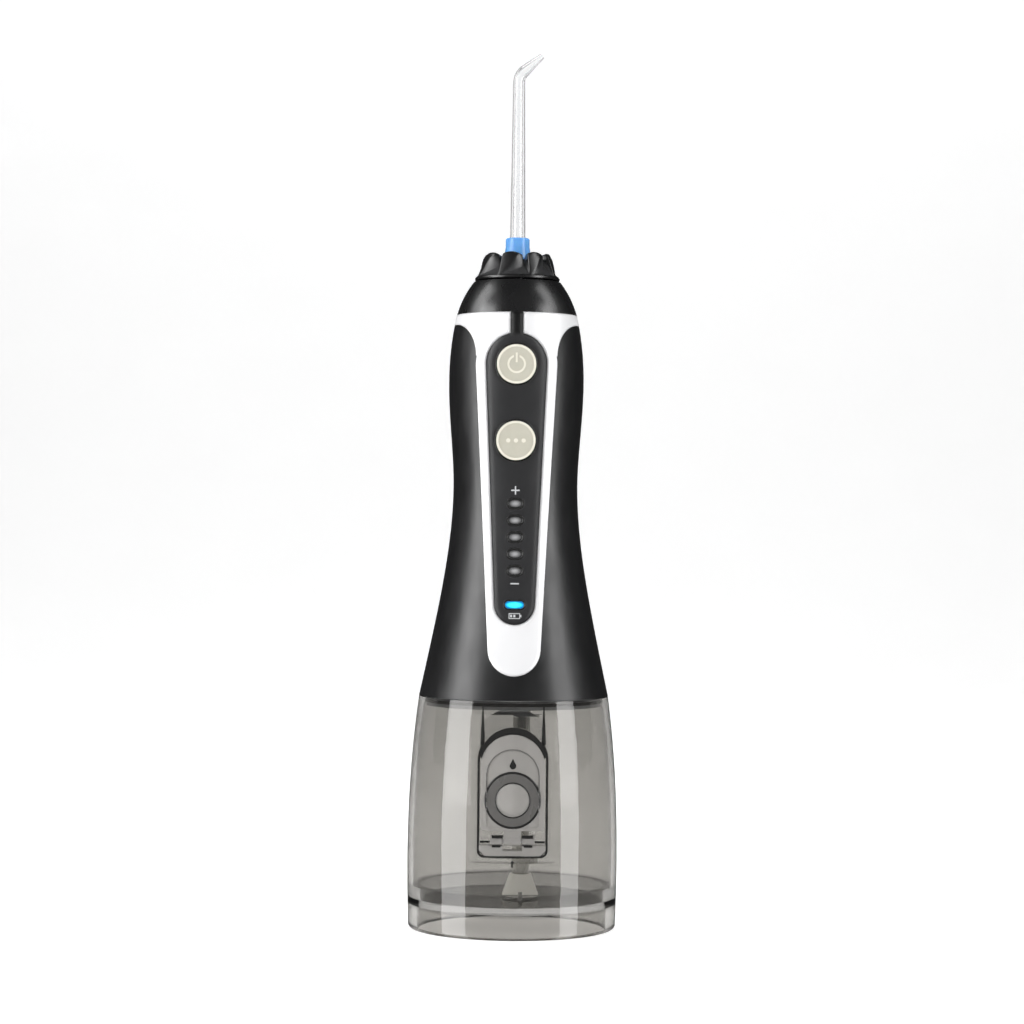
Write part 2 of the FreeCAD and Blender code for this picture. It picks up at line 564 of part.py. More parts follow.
def build_handle_skin():
    """The waisted sleeve, the frame that lies in its front and the panel that lies in the frame."""
    buttons = [cylinder("button_well%d" % number, "button_radius + button_gap", "40", "0", "-50", height,
                        ALONG_Y) for number, height in enumerate(("power_z", "mode_z"))]
    charge = level_slot("charge_well", "seam + charge_rise", "charge_length", "charge_width", "50", "10")
    wells = buttons + light_slots("light_well", "0", "50", "10") + [charge]
    sleeve = cut("sleeve", handle_outer, handle_inner)
    bed = cut("trim_bed", frame_zone("trim_recess", "0"), skin("trim_bed_skin", HANDLE, "trim_thickness"))
    cover_bed = cut("cover_bed", level_slot("cover_recess", "socket_z", "(cover_width + 2 * cover_gap)",
                                            "(cover_height + 2 * cover_gap)", "0", "-50"),
                    skin("cover_bed_skin", HANDLE, "cover_thickness + cover_gap"))
    socket_hole = box("socket_hole", ("-socket_width / 2 - 0.2", "socket_width / 2 + 0.2"), ("10", "50"),
                      ("socket_z - socket_height / 2 - 0.2", "socket_z + socket_height / 2 + 0.2"))
    release = level_slot("release_well", "release_z", "(release_length + 2 * button_gap)",
                         "(release_width + 2 * button_gap)", "-10", "-50")
    bosses = []
    holes = []
    foot = "seam + bulkhead_thickness"
    for number, (side, face) in enumerate(((-1, -1), (-1, 1), (1, -1), (1, 1))):
        x = "boss_width * %d" % side
        y = "boss_depth * %d" % face
        bosses.append(cylinder("boss%d" % number, "boss_radius", "boss_height", x, y, foot))
        low, high = ("boss_width", "boss_width + 9") if side > 0 else ("-boss_width - 9", "-boss_width")
        bosses.append(box("boss_web%d" % number, (low, high), ("%s - 0.8" % y, "%s + 0.8" % y),
                          (foot, "%s + boss_height" % foot)))
        holes.append(cylinder("boss_hole%d" % number, "screw_radius", "boss_height - 1", x, y, foot))
    studs = common("boss_group", fuse("boss_cluster", *bosses), trim_back)
    recessed = cut("housing_recessed", fuse("housing_solid", sleeve, studs), bed)
    ported = cut("housing_ported", recessed, cover_bed, socket_hole, release)
    keep("handle_housing", cut("housing_finished", ported, *(wells + holes)))
    trim = common("trim_solid", cut("trim_shell", handle_outer, trim_back), frame_zone("trim_outline", "trim_gap"))
    keep("trim_frame", cut("trim_finished", trim, panel_zone("panel_window", "trim_gap")))
    panel = common("panel_solid", cut("panel_shell", panel_front, trim_back), panel_zone("panel_outline", "0"))
    keep("control_panel", cut("panel_finished", panel, *wells))


def build_lights():
    """Light guides from the panel's face to the lamps on the board."""
    guides = light_slots("light_guide", "-trim_gap", "50", "window_back")
    keep("mode_light_windows", common("level_guides", fuse("level_guide_bars", *guides), panel_front))
    bar = level_slot("charge_guide", "seam + charge_rise", "(charge_length - trim_gap)",
                     "(charge_width - trim_gap)", "50", "window_back")
    keep("charge_light_window", common("charge_guide_end", bar, panel_front))
    heights = ["seam + level_first_rise + %d * level_pitch" % number for number in range(int(size("level_count")))]
    heights.append("seam + charge_rise")
    lamps = [box("lamp%d" % number, ("-1.0", "1.0"), ("-board_depth - led_height", "-board_depth"),
                 ("%s - 0.8" % height, "%s + 0.8" % height)) for number, height in enumerate(heights)]
    keep("indicator_leds", fuse("lamp_row", *lamps))


def button(name, height, face, symbol):
    """A round cap with a raised rim and sign, and a stem that reaches the rubber sheet."""
    front = "(%s + button_proud)" % face
    cap = cylinder(name + "_cap", "button_radius", "%s - (%s - handle_wall + 0.1)" % (front, face), "0",
                   "-" + front, height, ALONG_Y)
    stem = cylinder(name + "_stem", "button_stem_radius", "%s - stem_tip" % face, "0", "-(%s)" % face, height,
                    ALONG_Y)
    dish = cylinder(name + "_dish", "button_radius - rim_width", "rim_relief + 1", "0", "-%s - 1" % front,
                    height, ALONG_Y)
    return fuse(name + "_solid", cut(name + "_dished", fuse(name + "_blank", cap, stem), dish), *symbol)


def button_signs():
    """Raised signs: a broken ring with a bar for power, three dots for the modes."""
    front = "(shoulder_depth / 2 + button_proud)"
    ring = cut("power_ring", cylinder("power_ring_out", "symbol_radius + symbol_line / 2", "rim_relief + 0.1", "0",
                                      "-" + front, "power_z", ALONG_Y),
               cylinder("power_ring_in", "symbol_radius - symbol_line / 2", "2", "0", "-%s - 1" % front, "power_z",
                        ALONG_Y),
               box("power_ring_gap", ("-symbol_line * 1.4", "symbol_line * 1.4"), ("-%s - 1" % front, "-10"),
                   ("power_z", "power_z + 5")))
    bar = box("power_bar", ("-symbol_line / 2", "symbol_line / 2"), ("-" + front, "-%s + rim_relief + 0.1" % front),
              ("power_z + 0.6", "power_z + symbol_radius + 1.1"))
    front = "(mode_face + button_proud)"
    dots = [cylinder("mode_dot%d" % side, "0.75", "rim_relief + 0.1", "%d * 2.7" % side, "-" + front, "mode_z",
                     ALONG_Y) for side in (-1, 0, 1)]
    return [ring, bar], dots


build_handle_skin()
build_lights()
power_sign, mode_sign = button_signs()
keep("power_button", button("power", "power_z", "shoulder_depth / 2", power_sign))
keep("mode_button", button("mode", "mode_z", "mode_face", mode_sign))

# ---------------------------------------------------------------- collar, nozzle seat and dial
COLLAR = [("top", "neck_top_width", "neck_top_depth"),
          ("top + collar_mid_rise", "collar_mid_width", "collar_mid_depth"),
          ("collar_top", "collar_top_width", "collar_top_width")]


def build_collar():
    """Coned cap over the handle, with a lip that plugs into the sleeve."""
    hollow = cut("collar_hollow", skin("collar_inner", COLLAR, "collar_wall"),
                 everywhere("collar_roof", "seat_top", "collar_top + 5"))
    mouth = cylinder("collar_mouth", "hub_radius + 0.6", "20", z="top + 1")
    half_width = "(neck_top_width / 2 - handle_wall - part_gap / 2)"
    half_depth = "(neck_top_depth / 2 - handle_wall - part_gap / 2)"
    shoulder = oval_prism("collar_shoulder", half_width + " + 1.2", half_depth + " + 1.2", "1.2", "top")
    lip = cut("collar_lip", fuse("collar_lip_blank", shoulder, oval_prism(
        "collar_lip_out", half_width, half_depth, "collar_plug + 0.2", "top - collar_plug")),
              oval_prism("collar_lip_in", half_width + " - 1.3", half_depth + " - 1.3", "collar_plug + 5",
                         "top - collar_plug - 1"))
    cone_shell = cut("collar_shell", skin("collar_outer", COLLAR), hollow, mouth)
    keep("top_collar", fuse("collar_finished", cone_shell, lip))


def build_seat():
    """Water chamber under the dial: flange, bearing bore, tip socket, latch slot and side inlet."""
    bore = "hub_radius + hub_clearance"
    floor = "seat_foot + seat_floor"
    shape = turned("seat_turned", [
        ("0", "0"), ("seat_foot_radius", "0"), ("seat_foot_radius", "hub_foot - seat_foot - 2"),
        ("seat_radius", "hub_foot - seat_foot - 1"), ("seat_radius", "seat_top - seat_foot - seat_flange_height"),
        ("seat_flange_radius", "seat_top - seat_foot - seat_flange_height"),
        ("seat_flange_radius", "seat_top - seat_foot"), (bore, "seat_top - seat_foot"),
        (bore, "hub_foot - seat_foot - part_gap"), ("shank_radius + 0.1", "hub_foot - seat_foot - part_gap"),
        ("shank_radius + 0.1", "seat_floor"), ("0", "seat_floor")], z="seat_foot")
    port = cylinder("seat_port", "tube_bore - hose_fit", "port_length + 1", "seat_foot_radius - 1", "0", "inlet_z",
                    ALONG_X)
    channel = cylinder("seat_channel", "port_channel", "20", "0", "0", "inlet_z", ALONG_X)
    side = "(latch_half + latch_gap)"
    slot = box("latch_slot", ("-" + side, side), ("-20", "20"),
               ("release_z - latch_thickness / 2 - latch_gap", "release_z + latch_thickness / 2 + latch_gap"))
    rise = "seat_top - clip_rise"
    clip_slot = cylinder("clip_slot", "clip_radius + 0.1", "clip_height + 0.1", z=rise + " - 0.05")
    keep("nozzle_seat", cut("seat_finished", fuse("seat_solid", shape, port), channel, slot, clip_slot))
    ring = doc.addObject("Part::Torus", "seat_ring")
    bind(ring, Radius1="seat_radius + ring_section / 2 + 0.05", Radius2="ring_section / 2")
    place(ring, z="seat_top - seat_flange_height - ring_section / 2 - contact_gap")
    keep("seat_o_ring", ring)
    disc = cylinder("clip_disc", "clip_radius", "clip_height", z=rise)
    eye = cylinder("clip_eye", "hub_radius - clip_groove + 0.15", "clip_height + 2", z=rise + " - 1")
    mouth = box("clip_mouth", ("-2.5", "2.5"), ("-20", "0"), (rise + " - 1", rise + " + clip_height + 1"))
    keep("dial_retaining_clip", cut("clip_ring", disc, eye, mouth))


def build_dial():
    """Turning crown: eight lobes left between slanted scoops, on a hub with a groove for its clip."""
    foot = "(collar_top + dial_gap)"
    groove = "seat_top - clip_rise - %s" % foot
    shape = turned("dial_turned", [
        ("dial_radius", "0"), ("dial_radius", "dial_skirt"), ("dial_radius - 1.6", "dial_height * 0.52"),
        ("dial_crest_radius + 1.3", "dial_height - 1.3"), ("dial_crest_radius", "dial_height"),
        ("dial_crest_radius - 2", "dial_height - 0.3"), ("dial_well_radius + 0.4", "dial_height - dial_well_depth + 1.6"),
        ("dial_well_radius", "dial_height - dial_well_depth"), ("hub_bore", "dial_height - dial_well_depth"),
        ("hub_bore", "-hub_length"), ("hub_radius", "-hub_length"), ("hub_radius", groove + " - 0.15"),
        ("hub_radius - clip_groove", groove + " - 0.15"),
        ("hub_radius - clip_groove", groove + " + clip_height + 0.15"),
        ("hub_radius", groove + " + clip_height + 0.15"), ("hub_radius", "0")], z=foot)
    scoops = []
    count = int(size("lobe_count"))
    low = FreeCAD.Vector(size("dial_radius") + 4.0, 0, size("dial_height") * 0.30)
    high = FreeCAD.Vector(size("dial_crest_radius") - 3.0, 0, size("dial_height") + 4.6)
    for number in range(count):
        turn = 360.0 * number / count - 90 + size("lobe_turn")
        start = FreeCAD.Rotation(FreeCAD.Vector(0, 0, 1), turn - size("scoop_swirl") / 2).multVec(low)
        end = FreeCAD.Rotation(FreeCAD.Vector(0, 0, 1), turn + size("scoop_swirl") / 2).multVec(high)
        run = end - start
        start = start - run * 0.4
        tool = doc.addObject("Part::Cylinder", "dial_scoop%d" % number)
        bind(tool, Radius="scoop_radius", Height=str(run.Length * 1.9))
        place(tool, "%.4f" % start.x, "%.4f" % start.y, foot + " + %.4f" % start.z,
              FreeCAD.Rotation(FreeCAD.Vector(0, 0, 1), run))
        scoops.append(tool)
    keep("rotation_dial", cut("dial_finished", shape, *scoops))
    keep("dial_seal", turned("dial_seal_ring", [
        ("hub_bore + 0.3", "0"), ("hub_radius - 0.4", "0"), ("hub_radius - 0.4", "-0.25"), ("hub_bore + 0.3", "-0.25")],
        z="hub_foot"))


build_collar()
build_seat()
build_dial()

# ---------------------------------------------------------------- jet tip


def bent_end(name, neck, end, overrun):
    """The tip's bend, lofted through circles set along its arc, and the coned outlet beyond it."""
    height = "tip_base + tip_straight"
    circles = []
    steps = 4
    for number in range(steps + 1):
        angle = "(tip_bend_angle * %s)" % (number / steps)
        circle = doc.addObject("Part::Circle", "%s_circle%d" % (name, number))
        bind(circle, Radius=neck)
        turn = FreeCAD.Rotation(FreeCAD.Vector(0, 1, 0), size(angle))
        place(circle, "tip_bend_radius * (1 - cos(%s))" % angle, "0",
              "%s + tip_bend_radius * sin(%s)" % (height, angle), turn)
        circles.append(circle)
    bend = doc.addObject("Part::Loft", name + "_arc")
    bend.Sections = circles
    bend.Solid = True
    bend.Ruled = False
    angle = "tip_bend_angle"
    outlet = cone(name + "_outlet", neck, end, "tip_end_length + " + overrun,
                  "tip_bend_radius * (1 - cos(%s))" % angle, "0",
                  "%s + tip_bend_radius * sin(%s)" % (height, angle),
                  FreeCAD.Rotation(FreeCAD.Vector(0, 1, 0), size(angle)))
    return fuse(name, bend, outlet)


def build_tip():
    """Clear jet tip: keyed shank, tapering tube, bent outlet; one bore runs right through it."""
    shoulder = "collar_top + dial_gap + dial_height - dial_well_depth"
    shank = turned("tip_shank", [
        ("0", "0"), ("shank_radius", "0"), ("shank_radius", "3.4"), ("shank_radius - 0.8", "3.4"),
        ("shank_radius - 0.8", "4.8"), ("shank_radius", "4.8"),
        ("shank_radius", "shank_length + (%s) - tip_base" % shoulder),
        ("0", "shank_length + (%s) - tip_base" % shoulder)], z="tip_base - shank_length")
    tube = cone("tip_tube", "tip_root_radius + 0.1", "tip_neck_radius", "tip_base + tip_straight - (%s)" % shoulder,
                z=shoulder)
    bore_low = cylinder("tip_bore_low", "tip_root_radius - tip_wall", "shank_length + 7", z="tip_base - shank_length - 1")
    bore = cone("tip_bore", "tip_root_radius - tip_wall", "tip_neck_radius - tip_wall + 0.1",
                "tip_straight - 6", z="tip_base + 6")
    outer = fuse("tip_outside", shank, tube, bent_end("tip_bend", "tip_neck_radius", "tip_end_radius", "0"))
    inner = fuse("tip_inside", bore_low, bore,
                 bent_end("tip_bend_bore", "tip_neck_radius - tip_wall + 0.1", "tip_orifice", "1"))
    keep("jet_tip", cut("tip_finished", outer, inner))
    ring = turned("ring_turned", [
        ("tip_root_radius + 0.12", "-band_ring_height"), ("band_ring_foot", "-band_ring_height"),
        ("band_ring_foot", "-band_ring_height * 0.8"), ("band_ring_radius", "-band_ring_height * 0.35"),
        ("band_ring_radius", "-0.4"), ("band_ring_radius - 0.4", "0"), ("tip_root_radius + 0.12", "0")],
        z="tip_base + band_ring_top")
    keep("tip_colour_ring", ring)
    seal = doc.addObject("Part::Torus", "tip_ring")
    bind(seal, Radius1="shank_radius - 0.55", Radius2="0.5")
    place(seal, z="tip_base - shank_length + 4.1")
    keep("tip_o_ring", cut("tip_ring_seated", seal, cylinder("tip_ring_eye", "shank_radius - 0.8", "3",
                                                             z="tip_base - shank_length + 2.6")))


# ---------------------------------------------------------------- bulkhead, seal and suction line


def build_bulkhead():
    """Floor of the handle: plate, spigot into the tank's mouth, water channel and hose nipple."""
    plate = common("bulkhead_plate", skin("bulkhead_skin", HANDLE, "handle_wall + part_gap"),
                   everywhere("bulkhead_slab", "seam", "seam + bulkhead_thickness"))
    wide = "(tank_mouth_width / 2 - tank_wall)"
    deep = "(tank_mouth_depth / 2 - tank_wall)"
    spigot = oval_prism("spigot_out", wide + " - spigot_gap", deep + " - spigot_gap", "spigot_height",
                        "spigot_foot")
    hollow = oval_prism("spigot_in", wide + " - spigot_gap - spigot_wall", deep + " - spigot_gap - spigot_wall",
                        "spigot_height + 1", "spigot_foot - 1")
    seal_foot = "(seam - spigot_height / 2 - seal_height / 2)"
    root_wide = wide + " - spigot_gap - seal_depth"
    root_deep = deep + " - spigot_gap - seal_depth"
    groove = cut("seal_groove", oval_prism("groove_out", wide + " + 5", deep + " + 5", "seal_height", seal_foot),
                 oval_prism("groove_in", root_wide, root_deep, "seal_height", seal_foot))
    ring = cut("spigot_ring", spigot, hollow, groove)
    rib = box("channel_rib", ("suction_offset - rib_radius", "port_x + rib_radius"),
              ("-rib_radius", "rib_radius"), ("channel_z - rib_radius + 0.6", "seam + 0.5"))
    nipple = cylinder("nipple", "nipple_radius", "channel_z - nipple_foot", "suction_offset", "0", "nipple_foot")
    rise = cylinder("channel_rise", "channel_radius", "bulkhead_thickness + 10", "port_x", "0", "channel_z")
    run = cylinder("channel_run", "channel_radius", "port_x - suction_offset", "suction_offset", "0", "channel_z",
                   ALONG_X)
    drop = cylinder("channel_drop", "channel_radius", "nipple_length + 10", "suction_offset", "0",
                    "nipple_foot - 1")
    drop_stop = everywhere("channel_stop", "channel_z", "channel_z + 30")
    holes = []
    for number, (side, face) in enumerate(((-1, -1), (-1, 1), (1, -1), (1, 1))):
        holes.append(cylinder("bulkhead_hole%d" % number, "screw_radius", "30", "boss_width * %d" % side,
                              "boss_depth * %d" % face, "spigot_foot - 5"))
        x = "post_front" if side > 0 else "-post_back"
        holes.append(cylinder("post_hole%d" % number, "screw_radius", "bulkhead_thickness", x,
                              "post_side * %d" % face, "seam + 1"))
    solid = fuse("bulkhead_solid", plate, ring, rib, nipple)
    keep("pump_bulkhead", cut("bulkhead_finished", solid, rise, run, cut("channel_drop_end", drop, drop_stop),
                              *holes))
    keep("tank_seal", cut("seal_ring", oval_prism("seal_out", wide + " - seal_gap", deep + " - seal_gap",
                                                  "seal_height - 0.1", seal_foot + " + 0.05"),
                          oval_prism("seal_in", root_wide + " + 0.02", root_deep + " + 0.02", "seal_height + 1",
                                     seal_foot + " - 0.4")))
    hose_radius = "(nipple_radius + hose_fit + hose_wall)"
    hose_top = "channel_z - rib_radius + 0.3"
    hose_foot = "strainer_foot + strainer_height * 0.5"
    hose = cut("suction_hose", cylinder("hose_out", hose_radius, "%s - (%s)" % (hose_top, hose_foot),
                                        "suction_offset", "0", hose_foot),
               cylinder("hose_in", "nipple_radius + hose_fit", "tank_height + 9", "suction_offset", "0",
                        "strainer_foot"))
    keep("suction_pipe", hose)
    weight = cone("strainer_cone", "strainer_radius", "strainer_top_radius", "strainer_height", "suction_offset",
                  "0", "strainer_foot")
    socket = cylinder("strainer_socket", hose_radius + " + hose_fit", "strainer_height", "suction_offset", "0",
                      hose_foot)
    inlet = cylinder("strainer_inlet", "nipple_radius", "strainer_height", "suction_offset", "0",
                     "strainer_foot - 1")
    slots = [box("strainer_slot%d" % number, ("suction_offset - 20", "suction_offset + 20") if number else (
        "suction_offset - 0.7", "suction_offset + 0.7"), ("-0.7", "0.7") if number else ("-20", "20"),
        ("strainer_foot - 1", "strainer_foot + 1.6")) for number in range(2)]
    keep("suction_strainer", cut("strainer_finished", weight, socket, inlet, *slots))


# ---------------------------------------------------------------- piston pump


def build_pump():
    """Lying cylinder on the bulkhead, its head with two valves, the trunk piston and its rod."""
    foot = "seam + bulkhead_thickness"
    barrel = cylinder("barrel", "pump_radius", "bore_length", "bore_start", "0", "pump_z", ALONG_X)
    saddle = box("barrel_saddle", ("bore_start", "bore_end"), ("-pump_radius + 0.8", "pump_radius - 0.8"),
                 (foot, "pump_z"))
    bore = cylinder("barrel_bore", "bore_radius", "bore_length + 2", "bore_start - 1", "0", "pump_z", ALONG_X)
    keep("pump_cylinder", cut("cylinder_finished", fuse("cylinder_solid", barrel, saddle), bore))
    plate = box("head_gasket_plate", ("bore_end", "head_x"), ("-head_half", "head_half"),
                (foot, "pump_z + head_half - 0.4"))
    keep("head_gasket", cut("gasket_sheet_cut", plate, cylinder("gasket_bore", "bore_radius", "2", "bore_end - 1",
                                                                 "0", "pump_z", ALONG_X)))
    block = box("head_block", ("head_x", "head_x + head_thickness"), ("-head_half", "head_half"),
                (foot, "pump_z + head_half - 0.4"))
    ports = [cylinder("head_inlet", "channel_radius", "pump_z - (%s) + 1" % foot, "port_x", "0", foot),
             cylinder("head_outlet", "channel_radius", "head_half + 10", "port_x", "0", "pump_z"),
             cylinder("head_side_low", "channel_radius", "head_thickness / 2 + 1", "head_x - 1", "0",
                      "pump_z", ALONG_X)]
    pockets = [cylinder("inlet_pocket", "valve_radius", "2", "port_x", "0", foot),
               cylinder("outlet_pocket", "valve_radius", "10", "port_x", "0", "pump_z + head_half - 2.4")]
    keep("cylinder_head", cut("head_finished", block, *(ports + pockets)))
    valves = (("inlet_valve", foot, "1.8"), ("outlet_valve", "pump_z + head_half - 2.4", "2"))
    for name, height, depth in valves:
        disc = cylinder(name + "_disc", "valve_radius", depth, "port_x", "0", height)
        slots = [box(name + "_slot%d" % side, ("port_x + %s" % low, "port_x + %s" % high), ("-0.9", "0.9"),
                     ("%s - 1" % height, "%s + 9" % height)) for side, low, high in (
                         (0, "0.5", "1.4"), (1, "(-1.4)", "(-0.5)"))]
        keep(name, cut(name + "_finished", disc, *slots))
    rear = "(piston_front - piston_length)"
    crown = cylinder("piston_crown", "piston_radius", "piston_length", rear, "0", "pump_z", ALONG_X)
    trunk = cylinder("piston_hollow", "piston_radius - piston_wall", "piston_length - crown_thickness + 1",
                     rear + " - 1", "0", "pump_z", ALONG_X)
    groove_x = "piston_front - ring_width - 0.8"
    groove = cut("ring_groove", cylinder("groove_disc", "bore_radius + 2", "ring_width", groove_x, "0", "pump_z",
                                         ALONG_X),
                 cylinder("groove_root", "piston_radius - ring_depth", "ring_width + 2", groove_x + " - 1", "0",
                          "pump_z", ALONG_X))
    keep("piston", cut("piston_finished", crown, trunk, groove))
    keep("piston_seal", cut("piston_ring", cylinder("ring_disc", "bore_radius - 0.03", "ring_width - 0.1",
                                                    groove_x + " + 0.05", "0", "pump_z", ALONG_X),
                            cylinder("ring_eye", "piston_radius - ring_depth + 0.01", "ring_width + 2",
                                     groove_x + " - 1", "0", "pump_z", ALONG_X)))
    low = "pump_z - rod_thickness / 2"
    beam = box("rod_beam", ("pin_x", "wrist_x"), ("-rod_width / 2", "rod_width / 2"),
               (low, low + " + rod_thickness"))
    big = cylinder("rod_big_eye", "rod_eye", "rod_thickness", "pin_x", "0", low)
    small = cylinder("rod_small_eye", "rod_width / 2", "rod_thickness", "wrist_x", "0", low)
    hole = cylinder("rod_hole", "crank_pin_radius + pin_play", "9", "pin_x", "0", "pump_z - 4")
    wrist_hole = cylinder("rod_wrist_hole", "wrist_radius", "9", "wrist_x", "0", "pump_z - 4")
    keep("connecting_rod", cut("rod_finished", fuse("rod_solid", beam, big, small), hole, wrist_hole))
    keep("wrist_pin", cylinder("wrist_rod", "wrist_radius", "wrist_length", "wrist_x", "0",
                               "pump_z - wrist_length / 2"))


# ---------------------------------------------------------------- gear train and motor


def gear_face(teeth, module, bore):
    """Flat face of a spur gear centred on the origin: involute flanks in short chords, one tooth on +X."""
    pitch = module * teeth / 2.0
    base = pitch * math.cos(math.radians(20))
    tip = pitch + 0.8 * module
    root = pitch - 1.0 * module
    backlash = 0.06
    half_at_pitch = math.pi / (2 * teeth) - backlash / (2 * pitch)

    def roll(radius):
        ratio = max(radius / base, 1.0)
        angle = math.acos(1 / ratio)
        return math.tan(angle) - angle

    def point(radius, angle):
        return FreeCAD.Vector(radius * math.cos(angle), radius * math.sin(angle), 0)

    flank = [(radius, half_at_pitch + roll(pitch) - roll(radius)) for radius in (root, pitch, tip)]
    edges = []
    for number in range(teeth):
        middle = 2 * math.pi * number / teeth
        following = 2 * math.pi * (number + 1) / teeth
        rising = [point(radius, middle - half) for radius, half in flank]
        falling = [point(radius, middle + half) for radius, half in reversed(flank)]
        chain = rising + falling
        for first, second in zip(chain, chain[1:]):
            edges.append(Part.LineSegment(first, second).toShape())
        end = point(root, following - flank[0][1])
        edges.append(Part.LineSegment(chain[-1], end).toShape())
    face = Part.Face(Part.Wire(edges))
    if bore > 0:
        face = face.cut(Part.Face(Part.Wire(Part.makeCircle(bore))))
    return face


def spur_gear(name, teeth, bore, x, y, phase):
    """A gear set in code from the sheet's values; phase turns it, in degrees, into mesh."""
    item = doc.addObject("Part::Feature", name)
    face = gear_face(int(size(teeth)), size("tooth_module"), size(bore))
    face.rotate(FreeCAD.Vector(0, 0, 0), FreeCAD.Vector(0, 0, 1), phase)
    item.Shape = face.extrude(FreeCAD.Vector(0, 0, size("gear_thickness")))
    return place(item, x, y, "gear_z")


def build_gears():
    """Pinion on the motor shaft and the crank gear it drives, on a stub axle."""
    line = math.degrees(math.atan2(size("motor_offset"), -size("gear_x")))
    pinion_pitch_angle = 360.0 / size("pinion_teeth")
    keep("motor_pinion", spur_gear("pinion", "pinion_teeth", "shaft_radius", "0", "motor_offset",
                                   line + 180 + pinion_pitch_angle / 2))
    wheel = spur_gear("wheel", "gear_teeth", "0", "gear_x", "0", line)
    blind = cylinder("wheel_bore", "axle_radius + pin_play", "gear_thickness", "gear_x", "0", "gear_z + 1.4")
    socket = cylinder("crank_pin_socket", "crank_pin_radius", "1", "pin_x", "0", "gear_z - 0.01")
    keep("crank_gear", cut("wheel_finished", wheel, blind, socket))
    keep("crank_pin", cylinder("crank_stud", "crank_pin_radius", "gear_z + 0.99 - (pump_z - 1.5)", "pin_x", "0",
                               "pump_z - 1.5"))
    keep("gear_axle", cylinder("axle", "axle_radius", "motor_z - gear_z - 1.6", "gear_x", "0", "gear_z + 1.6"))


def build_motor():
    """Direct-current motor standing on a plate over the gears, and the plate's posts and screws."""
    slab = common("plate_slab", skin("plate_skin", HANDLE, "handle_wall + plate_inset"),
                  everywhere("plate_level", "motor_z - plate_thickness", "motor_z"))
    foot = "seam + bulkhead_thickness"
    posts = []
    holes = []
    screws = []
    for number, (side, face) in enumerate(((-1, -1), (-1, 1), (1, -1), (1, 1))):
        x = "post_front" if side > 0 else "-post_back"
        y = "post_side * %d" % face
        posts.append(cylinder("post%d" % number, "post_radius", "motor_z - plate_thickness - (%s) + 0.5" % foot, x,
                              y, foot))
        holes.append(cylinder("post_bore%d" % number, "screw_radius", "60", x, y, foot + " - 1"))
        shank = cylinder("pump_screw_shank%d" % number, "screw_radius", "motor_z - seam - 1", x, y, "seam + 1")
        head = cylinder("pump_screw_head%d" % number, "screw_head", "screw_head_height", x, y, "motor_z")
        screws.append(fuse("pump_screw%d" % number, shank, head))
    shaft_hole = cylinder("plate_shaft_hole", "shaft_radius + 1", "20", "0", "motor_offset", "motor_z - 10")
    axle_hole = cylinder("plate_axle_hole", "axle_radius", "20", "gear_x", "0", "motor_z - 10")
    tube_hole = cylinder("plate_tube_hole", "tube_radius + 0.4", "20", "port_x", "0", "motor_z - 10")
    motor_screws = []
    for number, (x, y) in enumerate((("motor_radius * 0.65", "motor_offset"),
                                     ("0", "motor_offset + motor_radius * 0.65"))):
        holes.append(cylinder("motor_hole%d" % number, "screw_radius", "20", x, y, "motor_z - 10"))
        shank = cylinder("motor_screw_shank%d" % number, "screw_radius", "plate_thickness + 1", x, y,
                         "motor_z - plate_thickness")
        head = cylinder("motor_screw_head%d" % number, "screw_head", "1.2", x, y,
                        "motor_z - plate_thickness - 1.2")
        motor_screws.append(fuse("motor_screw%d" % number, shank, head))
    keep("motor_mount_plate", cut("plate_finished", fuse("plate_solid", slab, *posts), shaft_hole, axle_hole,
                                  tube_hole, *holes))
    keep("pump_screws", fuse("pump_screw_set", *screws))
    keep("motor_screws", fuse("motor_screw_set", *motor_screws))
    shell = cylinder("can_shell", "motor_radius", "motor_length", "0", "motor_offset", "motor_z")
    room = cylinder("can_room", "motor_radius - can_wall", "motor_length", "0", "motor_offset",
                    "motor_z + 1.5")
    mouth = cylinder("can_mouth", "shaft_radius + pin_play", "10", "0", "motor_offset", "motor_z - 1")
    threads = [cylinder("can_thread%d" % number, "screw_radius", "3", x, y, "motor_z - 1")
               for number, (x, y) in enumerate((("motor_radius * 0.65", "motor_offset"),
                                                ("0", "motor_offset + motor_radius * 0.65")))]
    keep("motor_can", cut("can_finished", shell, room, mouth, *threads))
    cap = cylinder("cap_disc", "motor_radius - can_wall", "cap_thickness", "0", "motor_offset",
                   "motor_z + motor_length - cap_thickness")
    cap_hole = cylinder("cap_hole", "shaft_radius + pin_play", "10", "0", "motor_offset",
                        "motor_z + motor_length - cap_thickness - 4")
    keep("motor_end_cap", cut("cap_finished", cap, cap_hole))
    core = cylinder("armature_core", "motor_radius - can_wall - 2.6", "motor_length - cap_thickness - 6", "0",
                    "motor_offset", "motor_z + 3")
    core_hole = cylinder("armature_hole", "shaft_radius", "40", "0", "motor_offset", "motor_z + 1")
    keep("motor_armature", cut("armature_finished", core, core_hole))
    keep("motor_shaft", cylinder("shaft", "shaft_radius", "motor_z + motor_length - 0.6 - (gear_z - 0.5)", "0",
                                 "motor_offset", "gear_z - 0.5"))


# ---------------------------------------------------------------- power and control


